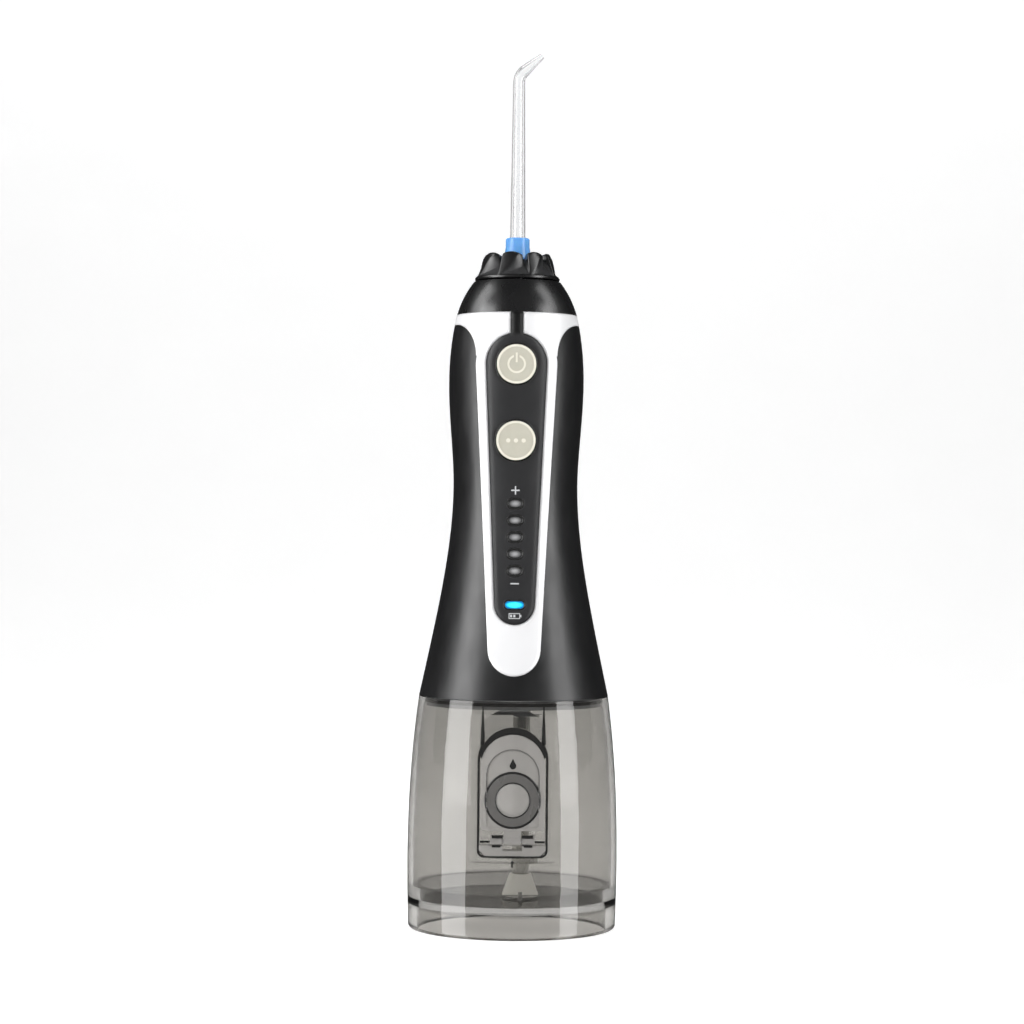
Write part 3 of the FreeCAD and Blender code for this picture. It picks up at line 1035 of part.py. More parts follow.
def build_electronics():
    """Cell in its cradle, circuit board with switches, and the rubber sheet behind the buttons."""
    cell = cylinder("cell_body", "cell_radius", "cell_length - 1", "0", "cell_offset", "cell_z")
    nub = cylinder("cell_nub", "cell_radius * 0.3", "1", "0", "cell_offset", "cell_z + cell_length - 1")
    keep("battery_cell", fuse("cell", cell, nub))
    half = "(board_width / 2)"
    keep("circuit_board", box("board", ("-" + half, half), ("-board_depth", "-board_depth + board_thickness"),
                              ("board_foot", "board_top")))
    switches = []
    for name, height in (("power", "power_z"), ("mode", "mode_z")):
        switches.append(box(name + "_switch", ("-switch_size / 2", "switch_size / 2"),
                            ("-board_depth - switch_height", "-board_depth"),
                            ("%s - switch_size / 2" % height, "%s + switch_size / 2" % height)))
    keep("tactile_switches", fuse("switch_pair", *switches))
    front = "-(membrane_back + membrane_thickness)"
    pads = [cylinder(name + "_pad", "membrane_radius", "membrane_thickness", "0", front, height, ALONG_Y)
            for name, height in (("power", "power_z"), ("mode", "mode_z"))]
    strip = box("pad_strip", ("-membrane_strip / 2", "membrane_strip / 2"), (front, "-membrane_back"),
                ("mode_z", "power_z"))
    keep("button_membrane", fuse("membrane", strip, *pads))
    side = "(chassis_width / 2)"
    back = "-chassis_front + chassis_thickness"
    spine = box("chassis_spine", ("-" + side, side), ("-chassis_front", back), ("motor_z", "cell_top + 2"))
    spans = []
    for number, height in enumerate(("cell_z + 6", "cell_z + cell_length / 2 - saddle_height / 2",
                                     "cell_top - 6 - saddle_height")):
        spans.append(box("saddle%d" % number, ("-" + side, side), (back + " - 0.1", "cell_offset - 2"),
                         (height, height + " + saddle_height")))
    studs = [cylinder("stud%d%d" % (number, side_sign), "1.6", "chassis_gap + 0.1", "6.5 * %d" % side_sign,
                      "-board_depth + board_thickness", height, ALONG_Y)
             for number, height in enumerate(("board_foot + 5", "board_foot + 50", "cell_top - 4"))
             for side_sign in (-1, 1)]
    nest = cylinder("cell_nest", "cell_radius + cell_gap", "cell_length + 6", "0", "cell_offset", "cell_z - 1")
    keep("inner_chassis", cut("chassis_finished", fuse("chassis_solid", spine, *(spans + studs)), nest))


def build_charging_port():
    """Metal socket in the back of the handle and the rubber flap that covers it."""
    low, high = "-socket_width / 2", "socket_width / 2"
    shell = box("socket_shell", (low, high), ("socket_face - socket_reach", "socket_face"),
                ("socket_z - socket_height / 2", "socket_z + socket_height / 2"))
    room = box("socket_room", (low + " + socket_wall", high + " - socket_wall"),
               ("socket_face - socket_reach + 1", "socket_face + 5"),
               ("socket_z - socket_height / 2 + socket_wall", "socket_z + socket_height / 2 - socket_wall"))
    tongue = box("socket_tongue", (low + " + 1.4", high + " - 1.4"), ("socket_face - socket_reach", "socket_face - 1"),
                 ("socket_z - 0.35", "socket_z + 0.35"))
    keep("charging_socket", fuse("socket_finished", cut("socket_case", shell, room), tongue))
    flap = level_slot("cover_blank", "socket_z", "cover_width", "cover_height", "0", "-50")
    keep("port_cover", common("cover_finished", flap, cut("cover_skin", handle_outer, skin(
        "cover_back", HANDLE, "cover_thickness"))))


def build_release():
    """Push button on the back that drives a keyhole plate around the tip's shank."""
    keep("release_button", level_slot("release_cap", "release_z", "release_length", "release_width",
                                      "-release_back", "-release_face"))
    low, high = "-latch_thickness / 2", "latch_thickness / 2"
    plate = box("latch_plate", ("-latch_half", "latch_half"), ("-shank_radius - 2.1", "release_back"),
                ("release_z + %s" % low, "release_z + %s" % high))
    clear = "(shank_radius + latch_gap)"
    eyes = [cylinder("latch_eye%d" % number, clear, "10", "0", y, "release_z - 5")
            for number, y in enumerate(("0", "release_travel"))]
    web = box("latch_eye_web", ("-" + clear, clear), ("0", "release_travel"), ("release_z - 5", "release_z + 5"))
    keep("release_latch", cut("latch_finished", plate, web, *eyes))


def build_delivery_tube():
    """Pressure tube from the pump's outlet, up beside the motor and cell, to the seat's side port."""
    start = FreeCAD.Vector(size("port_x"), 0, size("pump_z + head_half - 0.4"))
    knee = FreeCAD.Vector(size("port_x"), 0, size("motor_z + 8"))
    elbow = FreeCAD.Vector(size("tube_offset"), 0, size("motor_z + motor_length"))
    corner = FreeCAD.Vector(size("tube_offset"), 0, size("inlet_z"))
    end = FreeCAD.Vector(size("seat_foot_radius + 0.3"), 0, size("inlet_z"))
    route = [start, knee, elbow, corner, end]
    bend = size("tube_bend")
    edges = []
    here = start
    for number in range(1, len(route) - 1):
        before = (route[number - 1] - route[number]).normalize()
        after = (route[number + 1] - route[number]).normalize()
        half_turn = (math.pi - before.getAngle(after)) / 2
        setback = bend * math.tan(half_turn)
        first = route[number] + before * setback
        last = route[number] + after * setback
        bisector = (before + after).normalize()
        middle = route[number] + bisector * (bend / math.cos(half_turn) - bend)
        edges.append(Part.LineSegment(here, first).toShape())
        edges.append(Part.Arc(first, middle, last).toShape())
        here = last
    edges.append(Part.LineSegment(here, end).toShape())
    path = Part.Wire(edges)
    axis = FreeCAD.Vector(0, 0, 1)
    outer = path.makePipeShell([Part.Wire(Part.makeCircle(size("tube_radius"), start, axis))], True, False)
    inner = path.makePipeShell([Part.Wire(Part.makeCircle(size("tube_bore"), start, axis))], True, False)
    item = doc.addObject("Part::Feature", "tube")
    item.Shape = outer.cut(inner)
    expected = math.pi * (size("tube_radius") ** 2 - size("tube_bore") ** 2) * path.Length
    print("delivery tube volume %.1f, section times length %.1f" % (item.Shape.Volume, expected))
    keep("delivery_tube", place(item))


def build_housing_screws():
    """Four screws that hold the bulkhead to the bosses in the sleeve."""
    screws = []
    for number, (side, face) in enumerate(((-1, -1), (-1, 1), (1, -1), (1, 1))):
        x = "boss_width * %d" % side
        y = "boss_depth * %d" % face
        shank = cylinder("housing_screw_shank%d" % number, "screw_radius", "bulkhead_thickness + 6", x, y, "seam")
        head = cylinder("housing_screw_head%d" % number, "screw_head", "screw_head_height", x, y,
                        "seam - screw_head_height")
        screws.append(fuse("housing_screw%d" % number, shank, head))
    keep("housing_screws", fuse("housing_screw_set", *screws))


build_tip()
build_bulkhead()
build_pump()
build_gears()
build_motor()
build_electronics()
build_charging_port()
build_release()
build_delivery_tube()
build_housing_screws()

# ---------------------------------------------------------------- check and write
doc.recompute()
faults = []
for item in doc.Objects:
    if "Invalid" in item.State or "Error" in item.State:
        faults.append("%s: %s" % (item.Name, item.State))
for node, item in PARTS.items():
    if item.Shape.isNull() or not item.Shape.isValid() or not item.Shape.Solids:
        faults.append("%s has no sound shape" % node)
if faults:
    raise RuntimeError("\n".join(faults))

os.makedirs("parts", exist_ok=True)
for node, item in PARTS.items():
    item.Shape.exportStep("parts/%s.step" % node)
print("%d nodes written" % len(PARTS))
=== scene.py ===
# %% [markdown]
# # Dressing a cordless water flosser
#
# A water flosser is a clear tank of water under a waisted handle. A small piston pump in the handle pushes
# the water up through a turning dial and out of a thin bent tip. The working model with its joints is
# already made in CAD. This script is a lesson in giving such a model its looks: it loads the parts,
# makes a finish for each kind of plastic, rubber and metal, adds the small pieces that CAD leaves out, and
# sets up a quiet studio around it. Everything is in metres, with Z up and the buttons facing -Y.

# %% Load the parts
import json
import math

import bmesh
import bpy
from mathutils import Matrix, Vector
from mathutils.bvhtree import BVHTree


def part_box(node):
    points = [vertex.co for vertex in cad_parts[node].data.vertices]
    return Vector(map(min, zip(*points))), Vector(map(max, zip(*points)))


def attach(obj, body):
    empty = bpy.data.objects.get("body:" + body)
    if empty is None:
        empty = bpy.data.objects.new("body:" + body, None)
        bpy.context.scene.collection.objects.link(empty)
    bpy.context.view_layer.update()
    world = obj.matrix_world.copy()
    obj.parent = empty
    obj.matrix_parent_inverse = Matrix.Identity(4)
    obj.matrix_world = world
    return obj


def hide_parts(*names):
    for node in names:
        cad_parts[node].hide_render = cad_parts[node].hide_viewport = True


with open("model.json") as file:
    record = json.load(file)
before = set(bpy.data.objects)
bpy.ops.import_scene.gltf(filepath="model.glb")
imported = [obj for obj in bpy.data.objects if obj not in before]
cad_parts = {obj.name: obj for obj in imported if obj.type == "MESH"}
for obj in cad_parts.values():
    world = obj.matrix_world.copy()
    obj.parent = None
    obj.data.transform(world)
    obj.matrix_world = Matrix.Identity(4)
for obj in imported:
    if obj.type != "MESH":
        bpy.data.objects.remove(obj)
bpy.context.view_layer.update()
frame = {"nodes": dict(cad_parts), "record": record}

MM = 0.001
parts = frame["nodes"]

# %% [markdown]
# ## Tools for making a finish
#
# No real surface has one even colour. Moulded plastic is a little cloudy, its shine changes where hands
# have rubbed it, and it carries a very fine grain from the steel mould. Most finishes below are built from
# the same few node tools: a soft noise for colour, another for shine, a fine one for the grain, and for some
# a mask that finds edges. The noises read object coordinates, which are metres here, so a grain of 0.3 mm
# is about that size on every part, and it travels with the part when a joint moves.


# %% Small node tools
def new_finish(name):
    finish = bpy.data.materials.new(name)
    finish.use_nodes = True
    tree = finish.node_tree
    return finish, tree, tree.nodes["Principled BSDF"]


def noise(tree, grain_mm, detail=2.0, stretch=(1, 1, 1)):
    """A noise whose blobs are about grain_mm across, between 0 and 1."""
    place = tree.nodes.new("ShaderNodeTexCoord")
    scale = tree.nodes.new("ShaderNodeMapping")
    scale.inputs["Scale"].default_value = stretch
    cloud = tree.nodes.new("ShaderNodeTexNoise")
    cloud.inputs["Scale"].default_value = 1.0 / (grain_mm * MM)
    cloud.inputs["Detail"].default_value = detail
    tree.links.new(place.outputs["Object"], scale.inputs["Vector"])
    tree.links.new(scale.outputs["Vector"], cloud.inputs["Vector"])
    return cloud.outputs["Fac"]


def spread(tree, value, low, high, start=0.3, end=0.7, clamp=True):
    """Stretch a mask so that start..end becomes low..high."""
    node = tree.nodes.new("ShaderNodeMapRange")
    node.clamp = clamp
    node.inputs["From Min"].default_value = start
    node.inputs["From Max"].default_value = end
    node.inputs["To Min"].default_value = low
    node.inputs["To Max"].default_value = high
    tree.links.new(value, node.inputs["Value"])
    return node.outputs["Result"]


def blend(tree, mask, first, second):
    """A colour that goes from first to second with the mask; each is a colour or a socket."""
    node = tree.nodes.new("ShaderNodeMix")
    node.data_type = "RGBA"
    tree.links.new(mask, node.inputs["Factor"])
    for slot, colour in ((6, first), (7, second)):
        if isinstance(colour, bpy.types.NodeSocket):
            tree.links.new(colour, node.inputs[slot])
        else:
            node.inputs[slot].default_value = (*colour, 1.0)
    return node.outputs[2]


def edge_mask(tree, reach_mm):
    """1 on sharp edges, 0 on flat ground: a rounded normal is compared with the true one."""
    soft = tree.nodes.new("ShaderNodeBevel")
    soft.samples = 4
    soft.inputs["Radius"].default_value = reach_mm * MM
    true = tree.nodes.new("ShaderNodeNewGeometry")
    dot = tree.nodes.new("ShaderNodeVectorMath")
    dot.operation = "DOT_PRODUCT"
    tree.links.new(soft.outputs["Normal"], dot.inputs[0])
    tree.links.new(true.outputs["Normal"], dot.inputs[1])
    return spread(tree, dot.outputs["Value"], 1.0, 0.0, 0.80, 0.99)


def bump(tree, shader, height, depth_mm, strength=1.0):
    node = tree.nodes.new("ShaderNodeBump")
    node.inputs["Distance"].default_value = depth_mm * MM
    node.inputs["Strength"].default_value = strength
    tree.links.new(height, node.inputs["Height"])
    tree.links.new(node.outputs["Normal"], shader.inputs["Normal"])


def place_value(tree, axis):
    """The object coordinate along one axis, in metres."""
    place = tree.nodes.new("ShaderNodeTexCoord")
    split = tree.nodes.new("ShaderNodeSeparateXYZ")
    tree.links.new(place.outputs["Object"], split.inputs[0])
    return split.outputs[axis]


def shade(colour, amount):
    """The same colour, lighter (amount > 1) or darker."""
    return tuple(min(1.0, channel * amount) for channel in colour)


# %% [markdown]
# ## Moulded plastics and rubbers
#
# Most of the flosser is injection moulded. The handle is satin black: the mould is lightly blasted, so the
# grain is fine and the shine is broad. The collar and the dial are polished, so their grain is almost gone
# and the shine is narrow. One function covers them all, because only the numbers differ: colour, shine, the
# size and depth of the grain, and how far the edges are paled: partly rubbing, partly a painted highlight.


# %% Plastic
def plastic(name, colour, rough, grain_mm=0.35, grain_depth=0.006, cloud=0.08, rub_and_sheen=0.0, gloss=0.5, wax=0.0):
    finish, tree, shader = new_finish(name)
    shader.inputs["Specular IOR Level"].default_value = gloss
    tone = blend(tree, noise(tree, 9.0, 3.0), shade(colour, 1 - cloud), shade(colour, 1 + cloud))
    # The edges are paled a little: partly rubbing, partly a painted highlight where a rounded edge catches
    # light.
    if rub_and_sheen:
        rub_and_sheen_patches = noise(tree, 1.6, 4.0)
        rub_and_sheen_mask = tree.nodes.new("ShaderNodeMath")
        rub_and_sheen_mask.operation = "MULTIPLY"
        tree.links.new(edge_mask(tree, 0.35), rub_and_sheen_mask.inputs[0])
        tree.links.new(spread(tree, rub_and_sheen_patches, 0.0, rub_and_sheen, 0.35, 0.7), rub_and_sheen_mask.inputs[1])
        tone = blend(tree, rub_and_sheen_mask.outputs[0], tone, tuple(0.5 * channel + 0.16 for channel in colour))
    tree.links.new(tone, shader.inputs["Base Color"])
    handled = noise(tree, 6.0, 5.0, (1, 1, 0.45))
    tree.links.new(spread(tree, handled, rough * 0.86, rough * 1.16), shader.inputs["Roughness"])
    if wax:
        shader.inputs["Subsurface Weight"].default_value = wax
        shader.inputs["Subsurface Radius"].default_value = (0.0012, 0.0010, 0.0008)
        shader.inputs["Subsurface Scale"].default_value = 0.6
    bump(tree, shader, noise(tree, grain_mm, 3.0), grain_depth)
    return finish


finishes = {
    "satin_black": plastic("Satin black", (0.0035, 0.0035, 0.0040), 0.36, 0.30, 0.003, rub_and_sheen=0.10, gloss=0.75),
    "gloss_black": plastic("Polished black", (0.0025, 0.0025, 0.0028), 0.28, 0.9, 0.001,
                           rub_and_sheen=0.08, gloss=0.85),
    "beige_cap": plastic("Warm beige caps", (0.43, 0.415, 0.35), 0.42, 0.30, 0.005, 0.04, rub_and_sheen=0.3, wax=0.15),
    "white_plastic": plastic("White moulded", (0.78, 0.78, 0.75), 0.38, 0.4, 0.005, 0.03, wax=0.1),
    "grey_plastic": plastic("Grey moulded", (0.20, 0.21, 0.22), 0.45, 0.4, 0.008),
    "acetal": plastic("Turned acetal", (0.80, 0.78, 0.72), 0.35, 0.25, 0.004, 0.03, wax=0.15),
    "dark_rubber": plastic("Black silicone", (0.018, 0.018, 0.018), 0.62, 0.20, 0.010, 0.15),
    "board_green": plastic("Solder mask", (0.010, 0.085, 0.035), 0.30, 0.6, 0.006, 0.2),
    "cell_wrap": plastic("Shrink sleeve", (0.02, 0.10, 0.28), 0.22, 2.5, 0.02, 0.08),
}
print("plastics and rubbers:", len(finishes))

# %% [markdown]
# ## The control panel
#
# The panel is one soft dark grey strip whose long edges roll over, so they catch the side lights and look
# paler than its middle. A Bevel node with a wide radius bends the shading normal there, which is enough for
# an edge this shallow. The narrow stem above the upper button is left black, so the colour changes with
# height just above the panel's round head.


# %% Panel finish
def panel_finish():
    finish, tree, shader = new_finish("Panel grey")
    shader.inputs["Specular IOR Level"].default_value = 0.5
    stem_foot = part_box("power_button")[1].z + 3.0 * MM
    height = spread(tree, place_value(tree, "Z"), 0.0, 1.0, stem_foot, stem_foot + 1.5 * MM)
    tone = blend(tree, noise(tree, 9.0, 3.0), (0.016, 0.016, 0.017), (0.022, 0.022, 0.023))
    tree.links.new(blend(tree, height, tone, (0.003, 0.003, 0.003)), shader.inputs["Base Color"])
    tree.links.new(spread(tree, noise(tree, 6.0, 4.0), 0.30, 0.38), shader.inputs["Roughness"])
    soft = tree.nodes.new("ShaderNodeBevel")
    soft.samples = 6
    soft.inputs["Radius"].default_value = 2.6 * MM
    grain = tree.nodes.new("ShaderNodeBump")
    grain.inputs["Distance"].default_value = 0.003 * MM
    tree.links.new(noise(tree, 0.25, 3.0), grain.inputs["Height"])
    tree.links.new(soft.outputs["Normal"], grain.inputs["Normal"])
    tree.links.new(grain.outputs["Normal"], shader.inputs["Normal"])
    return finish


finishes["panel_grey"] = panel_finish()
# Rougher than the petals, and lighter in colour: the lighter colour is painted light on the dial's flats.
finishes["dial_flat"] = plastic("Dull black flats with painted light", (0.020, 0.020, 0.021), 0.42, 0.30, 0.004, 0.06, gloss=0.8)
finishes["print_grey"] = plastic("Printed grey", (0.42, 0.43, 0.44), 0.50, 0.20, 0.003, 0.04)
# One dark plastic serves the painted shade in gaps, wells, slots, notches and round the door, and the dark
# marks on the lid and the tank.
finishes["dark_marks_and_painted_shade"] = plastic("Dark marks and painted shade", (0.012, 0.0118, 0.0112), 0.22, 0.5, 0.002, 0.15,
                                 gloss=0.6)
# The seal seen through the lid, and also the fine arched line on the lid, which is painted shade.
finishes["seal_grey_and_shade_line"] = plastic("Seal seen through the lid and painted shade line", (0.085, 0.082, 0.078), 0.30, 0.4, 0.003, 0.10)
print("with the panel and its marks:", len(finishes))

# %% [markdown]
# ## Metals
#
# Metal colour comes from its reflection, so on the turned and drawn parts Metallic is 1 and the base colour
# is the tint of the mirror. Such metal has fine lines along one way: a noise squeezed in two directions and
# left long in the third gives them. The bright frame is satin plating on plastic. Metallic is low there,
# which leaves a pale body under the mirror, and a Bevel node bends the normal where its edges roll over.


# %% Metal
def metal(name, colour, rough, lines=(1, 1, 0.04), line_mm=0.12, line_depth=0.002, cloud=0.05):
    finish, tree, shader = new_finish(name)
    shader.inputs["Metallic"].default_value = 1.0
    tone = blend(tree, noise(tree, 4.0, 4.0), shade(colour, 1 - cloud), shade(colour, 1 + cloud))
    tree.links.new(tone, shader.inputs["Base Color"])
    brushed = noise(tree, line_mm, 3.0, lines)
    tree.links.new(spread(tree, brushed, rough * 0.8, rough * 1.25), shader.inputs["Roughness"])
    bump(tree, shader, brushed, line_depth)
    return finish


def plated_trim():
    """Satin silver plating: half mirror, half pale body, with edges that roll over softly."""
    finish, tree, shader = new_finish("Satin silver plating")
    shader.inputs["Metallic"].default_value = 0.3
    tone = blend(tree, noise(tree, 30.0, 2.0), (0.80, 0.80, 0.81), (0.83, 0.83, 0.84))
    tree.links.new(tone, shader.inputs["Base Color"])
    tree.links.new(spread(tree, noise(tree, 25.0, 2.0), 0.33, 0.37), shader.inputs["Roughness"])
    rolled = tree.nodes.new("ShaderNodeBevel")
    rolled.samples = 8
    rolled.inputs["Radius"].default_value = 1.8 * MM
    tree.links.new(rolled.outputs["Normal"], shader.inputs["Normal"])
    return finish


finishes["bright_trim"] = plated_trim()
finishes["steel"] = metal("Turned steel", (0.58, 0.58, 0.59), 0.28)
finishes["zinc"] = metal("Zinc plated can", (0.50, 0.50, 0.49), 0.38, line_mm=0.3)
finishes["brass"] = metal("Cut brass", (0.72, 0.53, 0.24), 0.30)
finishes["copper_core"] = metal("Copper winding", (0.66, 0.31, 0.15), 0.34, (1, 1, 8), 0.35, 0.05, 0.12)
print("finishes so far:", len(finishes))

# %% [markdown]
# ## Clear plastics
#
# The tank and the tip are clear, and what makes clear plastic look thick is refraction: the edges of a wall,
# the corners of the door well and the sides of the tip all turn dark because they bend the view sideways.
# So these use real glass shading, with the index of refraction of the plastic. Glass shading alone would
# keep the lamps out of the tank, so a Light Path node swaps it for a tinted see-through shader wherever a
# ray is only asking whether a lamp is blocked. The tint deepens where the wall is seen edge on, because the
# eye then looks through more of it. A band at the height of the floor is tinted deeper still: that is a
# choice made for the look, and no measured thickness stands behind it.


# %% Clear wall
def clear_wall(name, tint, edge_tint, lamp_tint, rough, turn, deep=None):
    """Glass whose tint runs from head on to edge on; turn says how late the edge tint takes over.

    deep is (low, high, share): between these heights the tint is multiplied by the share.
    """
    finish, tree, shader = new_finish(name)
    shader.inputs["Transmission Weight"].default_value = 1.0
    shader.inputs["IOR"].default_value = 1.49
    facing = tree.nodes.new("ShaderNodeLayerWeight")
    facing.inputs["Blend"].default_value = 0.5
    steep = tree.nodes.new("ShaderNodeMath")
    steep.operation = "POWER"
    steep.inputs[1].default_value = turn
    tree.links.new(facing.outputs["Facing"], steep.inputs[0])
    tone = blend(tree, noise(tree, 12.0, 3.0), shade(tint, 0.985), shade(tint, 1.015))
    if deep:
        low, high, share = deep
        height = place_value(tree, "Z")
        inside = tree.nodes.new("ShaderNodeMath")
        inside.operation = "MULTIPLY"
        tree.links.new(spread(tree, height, 0.0, 1.0, low - 1.0 * MM, low), inside.inputs[0])
        tree.links.new(spread(tree, height, 1.0, 0.0, high, high + 0.8 * MM), inside.inputs[1])
        tone = blend(tree, inside.outputs[0], tone, shade(tint, share))
    tree.links.new(blend(tree, steep.outputs[0], tone, edge_tint), shader.inputs["Base Color"])
    tree.links.new(spread(tree, noise(tree, 8.0, 3.0), rough * 0.7, rough * 1.3), shader.inputs["Roughness"])
    see = tree.nodes.new("ShaderNodeBsdfTransparent")
    see.inputs["Color"].default_value = (*lamp_tint, 1.0)
    path = tree.nodes.new("ShaderNodeLightPath")
    mix = tree.nodes.new("ShaderNodeMixShader")
    tree.links.new(path.outputs["Is Shadow Ray"], mix.inputs["Fac"])
    tree.links.new(shader.outputs[0], mix.inputs[1])
    tree.links.new(see.outputs[0], mix.inputs[2])
    tree.links.new(mix.outputs[0], tree.nodes["Material Output"].inputs["Surface"])
    return finish


FLOOR_BAND = (8.4 * MM, 15.6 * MM, 0.62)
finishes["smoky_clear"] = clear_wall("Smoky clear wall", (0.50, 0.49, 0.47), (0.06, 0.058, 0.055),
                                     (0.80, 0.79, 0.78), 0.02, 4.0, FLOOR_BAND)
finishes["tip_clear"] = clear_wall("Clear tip", (0.97, 0.975, 0.98), (0.0, 0.0, 0.0),
                                   (0.95, 0.95, 0.96), 0.02, 1.15)
print("with the clear walls:", len(finishes))

# %% [markdown]
# ## The milky lid
#
# The fill door is the same smoke tint but frosted, so it looks paler than the wall round it. A thin milky
# film does this better than rough glass: part of the light goes straight through and keeps what lies behind
# in focus, and the rest is scattered at the surface.


# %% Milky film
def milky_film(name, tint, film_colour, film, rough):
    """A see-through sheet with a scattering film; film is the share that the film stops, head on."""
    finish, tree, shader = new_finish(name)
    body = blend(tree, noise(tree, 7.0, 3.0), shade(film_colour, 0.93), shade(film_colour, 1.07))
    tree.links.new(body, shader.inputs["Base Color"])
    tree.links.new(spread(tree, noise(tree, 3.0, 3.0), rough * 0.8, rough * 1.2), shader.inputs["Roughness"])
    bump(tree, shader, noise(tree, 0.4, 3.0), 0.003)
    see = tree.nodes.new("ShaderNodeBsdfTransparent")
    clear = blend(tree, noise(tree, 12.0, 2.0), shade(tint, 0.98), shade(tint, 1.02))
    tree.links.new(clear, see.inputs["Color"])
    facing = tree.nodes.new("ShaderNodeLayerWeight")
    facing.inputs["Blend"].default_value = 0.5
    share = spread(tree, facing.outputs["Facing"], film, 1.0, 0.0, 1.0)
    mix = tree.nodes.new("ShaderNodeMixShader")
    tree.links.new(share, mix.inputs["Fac"])
    tree.links.new(see.outputs[0], mix.inputs[1])
    tree.links.new(shader.outputs[0], mix.inputs[2])
    tree.links.new(mix.outputs[0], tree.nodes["Material Output"].inputs["Surface"])
    return finish


finishes["smoky_light"] = milky_film("Frosted smoky lid", (0.86, 0.85, 0.84), (0.33, 0.32, 0.305), 0.55, 0.22)
finishes["clear_hose"] = milky_film("Soft milky hose", (0.90, 0.90, 0.89), (0.50, 0.50, 0.48), 0.16, 0.25)
print("with the milky films:", len(finishes))

# %% [markdown]
# ## The coloured ring and the lit lamp
#
# The ring that marks whose tip it is glows softly because light enters the blue plastic and scatters, which
# is what Subsurface does. The charge lamp is lit, so it also gives off light of its own, brightest in its
# middle. The five level lamps are off, and their darker rims are painted shade. For both, a ping-pong node
# folds the height into the distance from the nearest of the five level lamps, and the length of that and the
# sideways distance gives a soft oval.


# %% Ring and lamp
LEVEL_LAMPS = 5
LEVEL_LAMP_TALL = 2.7 * MM


def ring_blue():
    finish, tree, shader = new_finish("Translucent blue")
    tone = blend(tree, noise(tree, 2.5, 3.0), (0.10, 0.29, 0.62), (0.14, 0.36, 0.70))
    tree.links.new(tone, shader.inputs["Base Color"])
    tree.links.new(spread(tree, noise(tree, 1.5, 3.0), 0.16, 0.26), shader.inputs["Roughness"])
    shader.inputs["Subsurface Weight"].default_value = 0.4
    shader.inputs["Subsurface Radius"].default_value = (0.001, 0.002, 0.004)
    shader.inputs["Subsurface Scale"].default_value = 0.8
    bump(tree, shader, noise(tree, 0.6, 2.0), 0.002)
    return finish


def lamp_reach(tree, node, count):
    """0 at the middle of the nearest of a column of lamps, 1 at its rim."""
    low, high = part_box(node)
    half_wide = (high.x - low.x) / 2
    half_tall = LEVEL_LAMP_TALL / 2 if count > 1 else (high.z - low.z) / 2
    pitch = (high.z - low.z - 2 * half_tall) / (count - 1) if count > 1 else 1.0
    fold = tree.nodes.new("ShaderNodeMath")
    fold.operation = "PINGPONG"
    fold.inputs[1].default_value = pitch / 2
    rise = spread(tree, place_value(tree, "Z"), 0.0, 1.0, low.z + half_tall, low.z + half_tall + 1.0,
                  clamp=False)
    tree.links.new(rise, fold.inputs[0])
    join = tree.nodes.new("ShaderNodeCombineXYZ")
    for slot, value, size in (("X", place_value(tree, "X"), half_wide), ("Y", fold.outputs[0], half_tall)):
        ratio = tree.nodes.new("ShaderNodeMath")
        ratio.operation = "DIVIDE"
        ratio.inputs[1].default_value = size
        tree.links.new(value, ratio.inputs[0])
        tree.links.new(ratio.outputs[0], join.inputs[slot])
    length = tree.nodes.new("ShaderNodeVectorMath")
    length.operation = "LENGTH"
    tree.links.new(join.outputs[0], length.inputs[0])
    return length.outputs["Value"]


def lit_window():
    finish, tree, shader = new_finish("Lit light guide")
    reach = spread(tree, lamp_reach(tree, "charge_light_window", 1), 0.0, 1.0, 0.35, 1.0)
    core = blend(tree, noise(tree, 1.2, 2.0), (0.02, 0.72, 0.95), (0.05, 0.80, 1.0))
    glow = blend(tree, reach, core, (0.003, 0.10, 0.26))
    tree.links.new(glow, shader.inputs["Base Color"])
    tree.links.new(glow, shader.inputs["Emission Color"])
    shader.inputs["Emission Strength"].default_value = 0.9
    tree.links.new(spread(tree, noise(tree, 0.8, 2.0), 0.15, 0.25), shader.inputs["Roughness"])
    return finish


def unlit_window():
    """A milky light guide that is off: pale in its middle, with painted shade towards its rim."""
    finish, tree, shader = new_finish("Milky light guide with painted rim shade")
    reach = spread(tree, lamp_reach(tree, "mode_light_windows", LEVEL_LAMPS), 0.0, 1.0, 0.15, 1.0)
    core = blend(tree, noise(tree, 1.0, 2.0), (0.27, 0.27, 0.275), (0.31, 0.31, 0.315))
    tree.links.new(blend(tree, reach, core, (0.012, 0.012, 0.012)), shader.inputs["Base Color"])
    tree.links.new(spread(tree, noise(tree, 0.8, 2.0), 0.25, 0.35), shader.inputs["Roughness"])
    return finish


finishes["ring_blue"] = ring_blue()
finishes["blue_window"] = lit_window()
finishes["grey_window"] = unlit_window()
print("all finishes:", len(finishes))

# %% [markdown]
# ## Put the finishes on the parts
#
# The record that comes with the parts says which finish each one has, so no part has to be named here. The
# CAD meshes stay as they are. In the black and the beige finishes a Bevel node finds the edges and pales
# them a little, partly as handling does and partly as a painted highlight on the edges.

# %% Assign finishes
slot_of = {row["node"]: row["material_slot"] for row in frame["record"]["subparts"]}
for name, part in parts.items():
    part.data.materials.clear()
    part.data.materials.append(finishes[slot_of[name]])
print("parts dressed:", len(slot_of))

# %% [markdown]
# ## Tools for making pieces
#
# CAD gives the working shapes. The small pieces that only matter to the eye are made here in mesh code. Two
# helpers cover them all. One joins rings of points into a skin. The other lays flat outlines on a surface,
# and a Solidify and a Bevel modifier make them into thin plates with softened edges. A third helper finds
# where the front surface is, so that a mark can be laid on it without a measured number.


# %% Piece tools
def show_piece(name, mesh, body, finish):
    """Put a mesh in the scene as a piece that rides on a body."""
    mesh.materials.append(finishes[finish])
    piece = bpy.data.objects.new(name, mesh)
    bpy.context.scene.collection.objects.link(piece)
    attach(piece, body)
    return piece


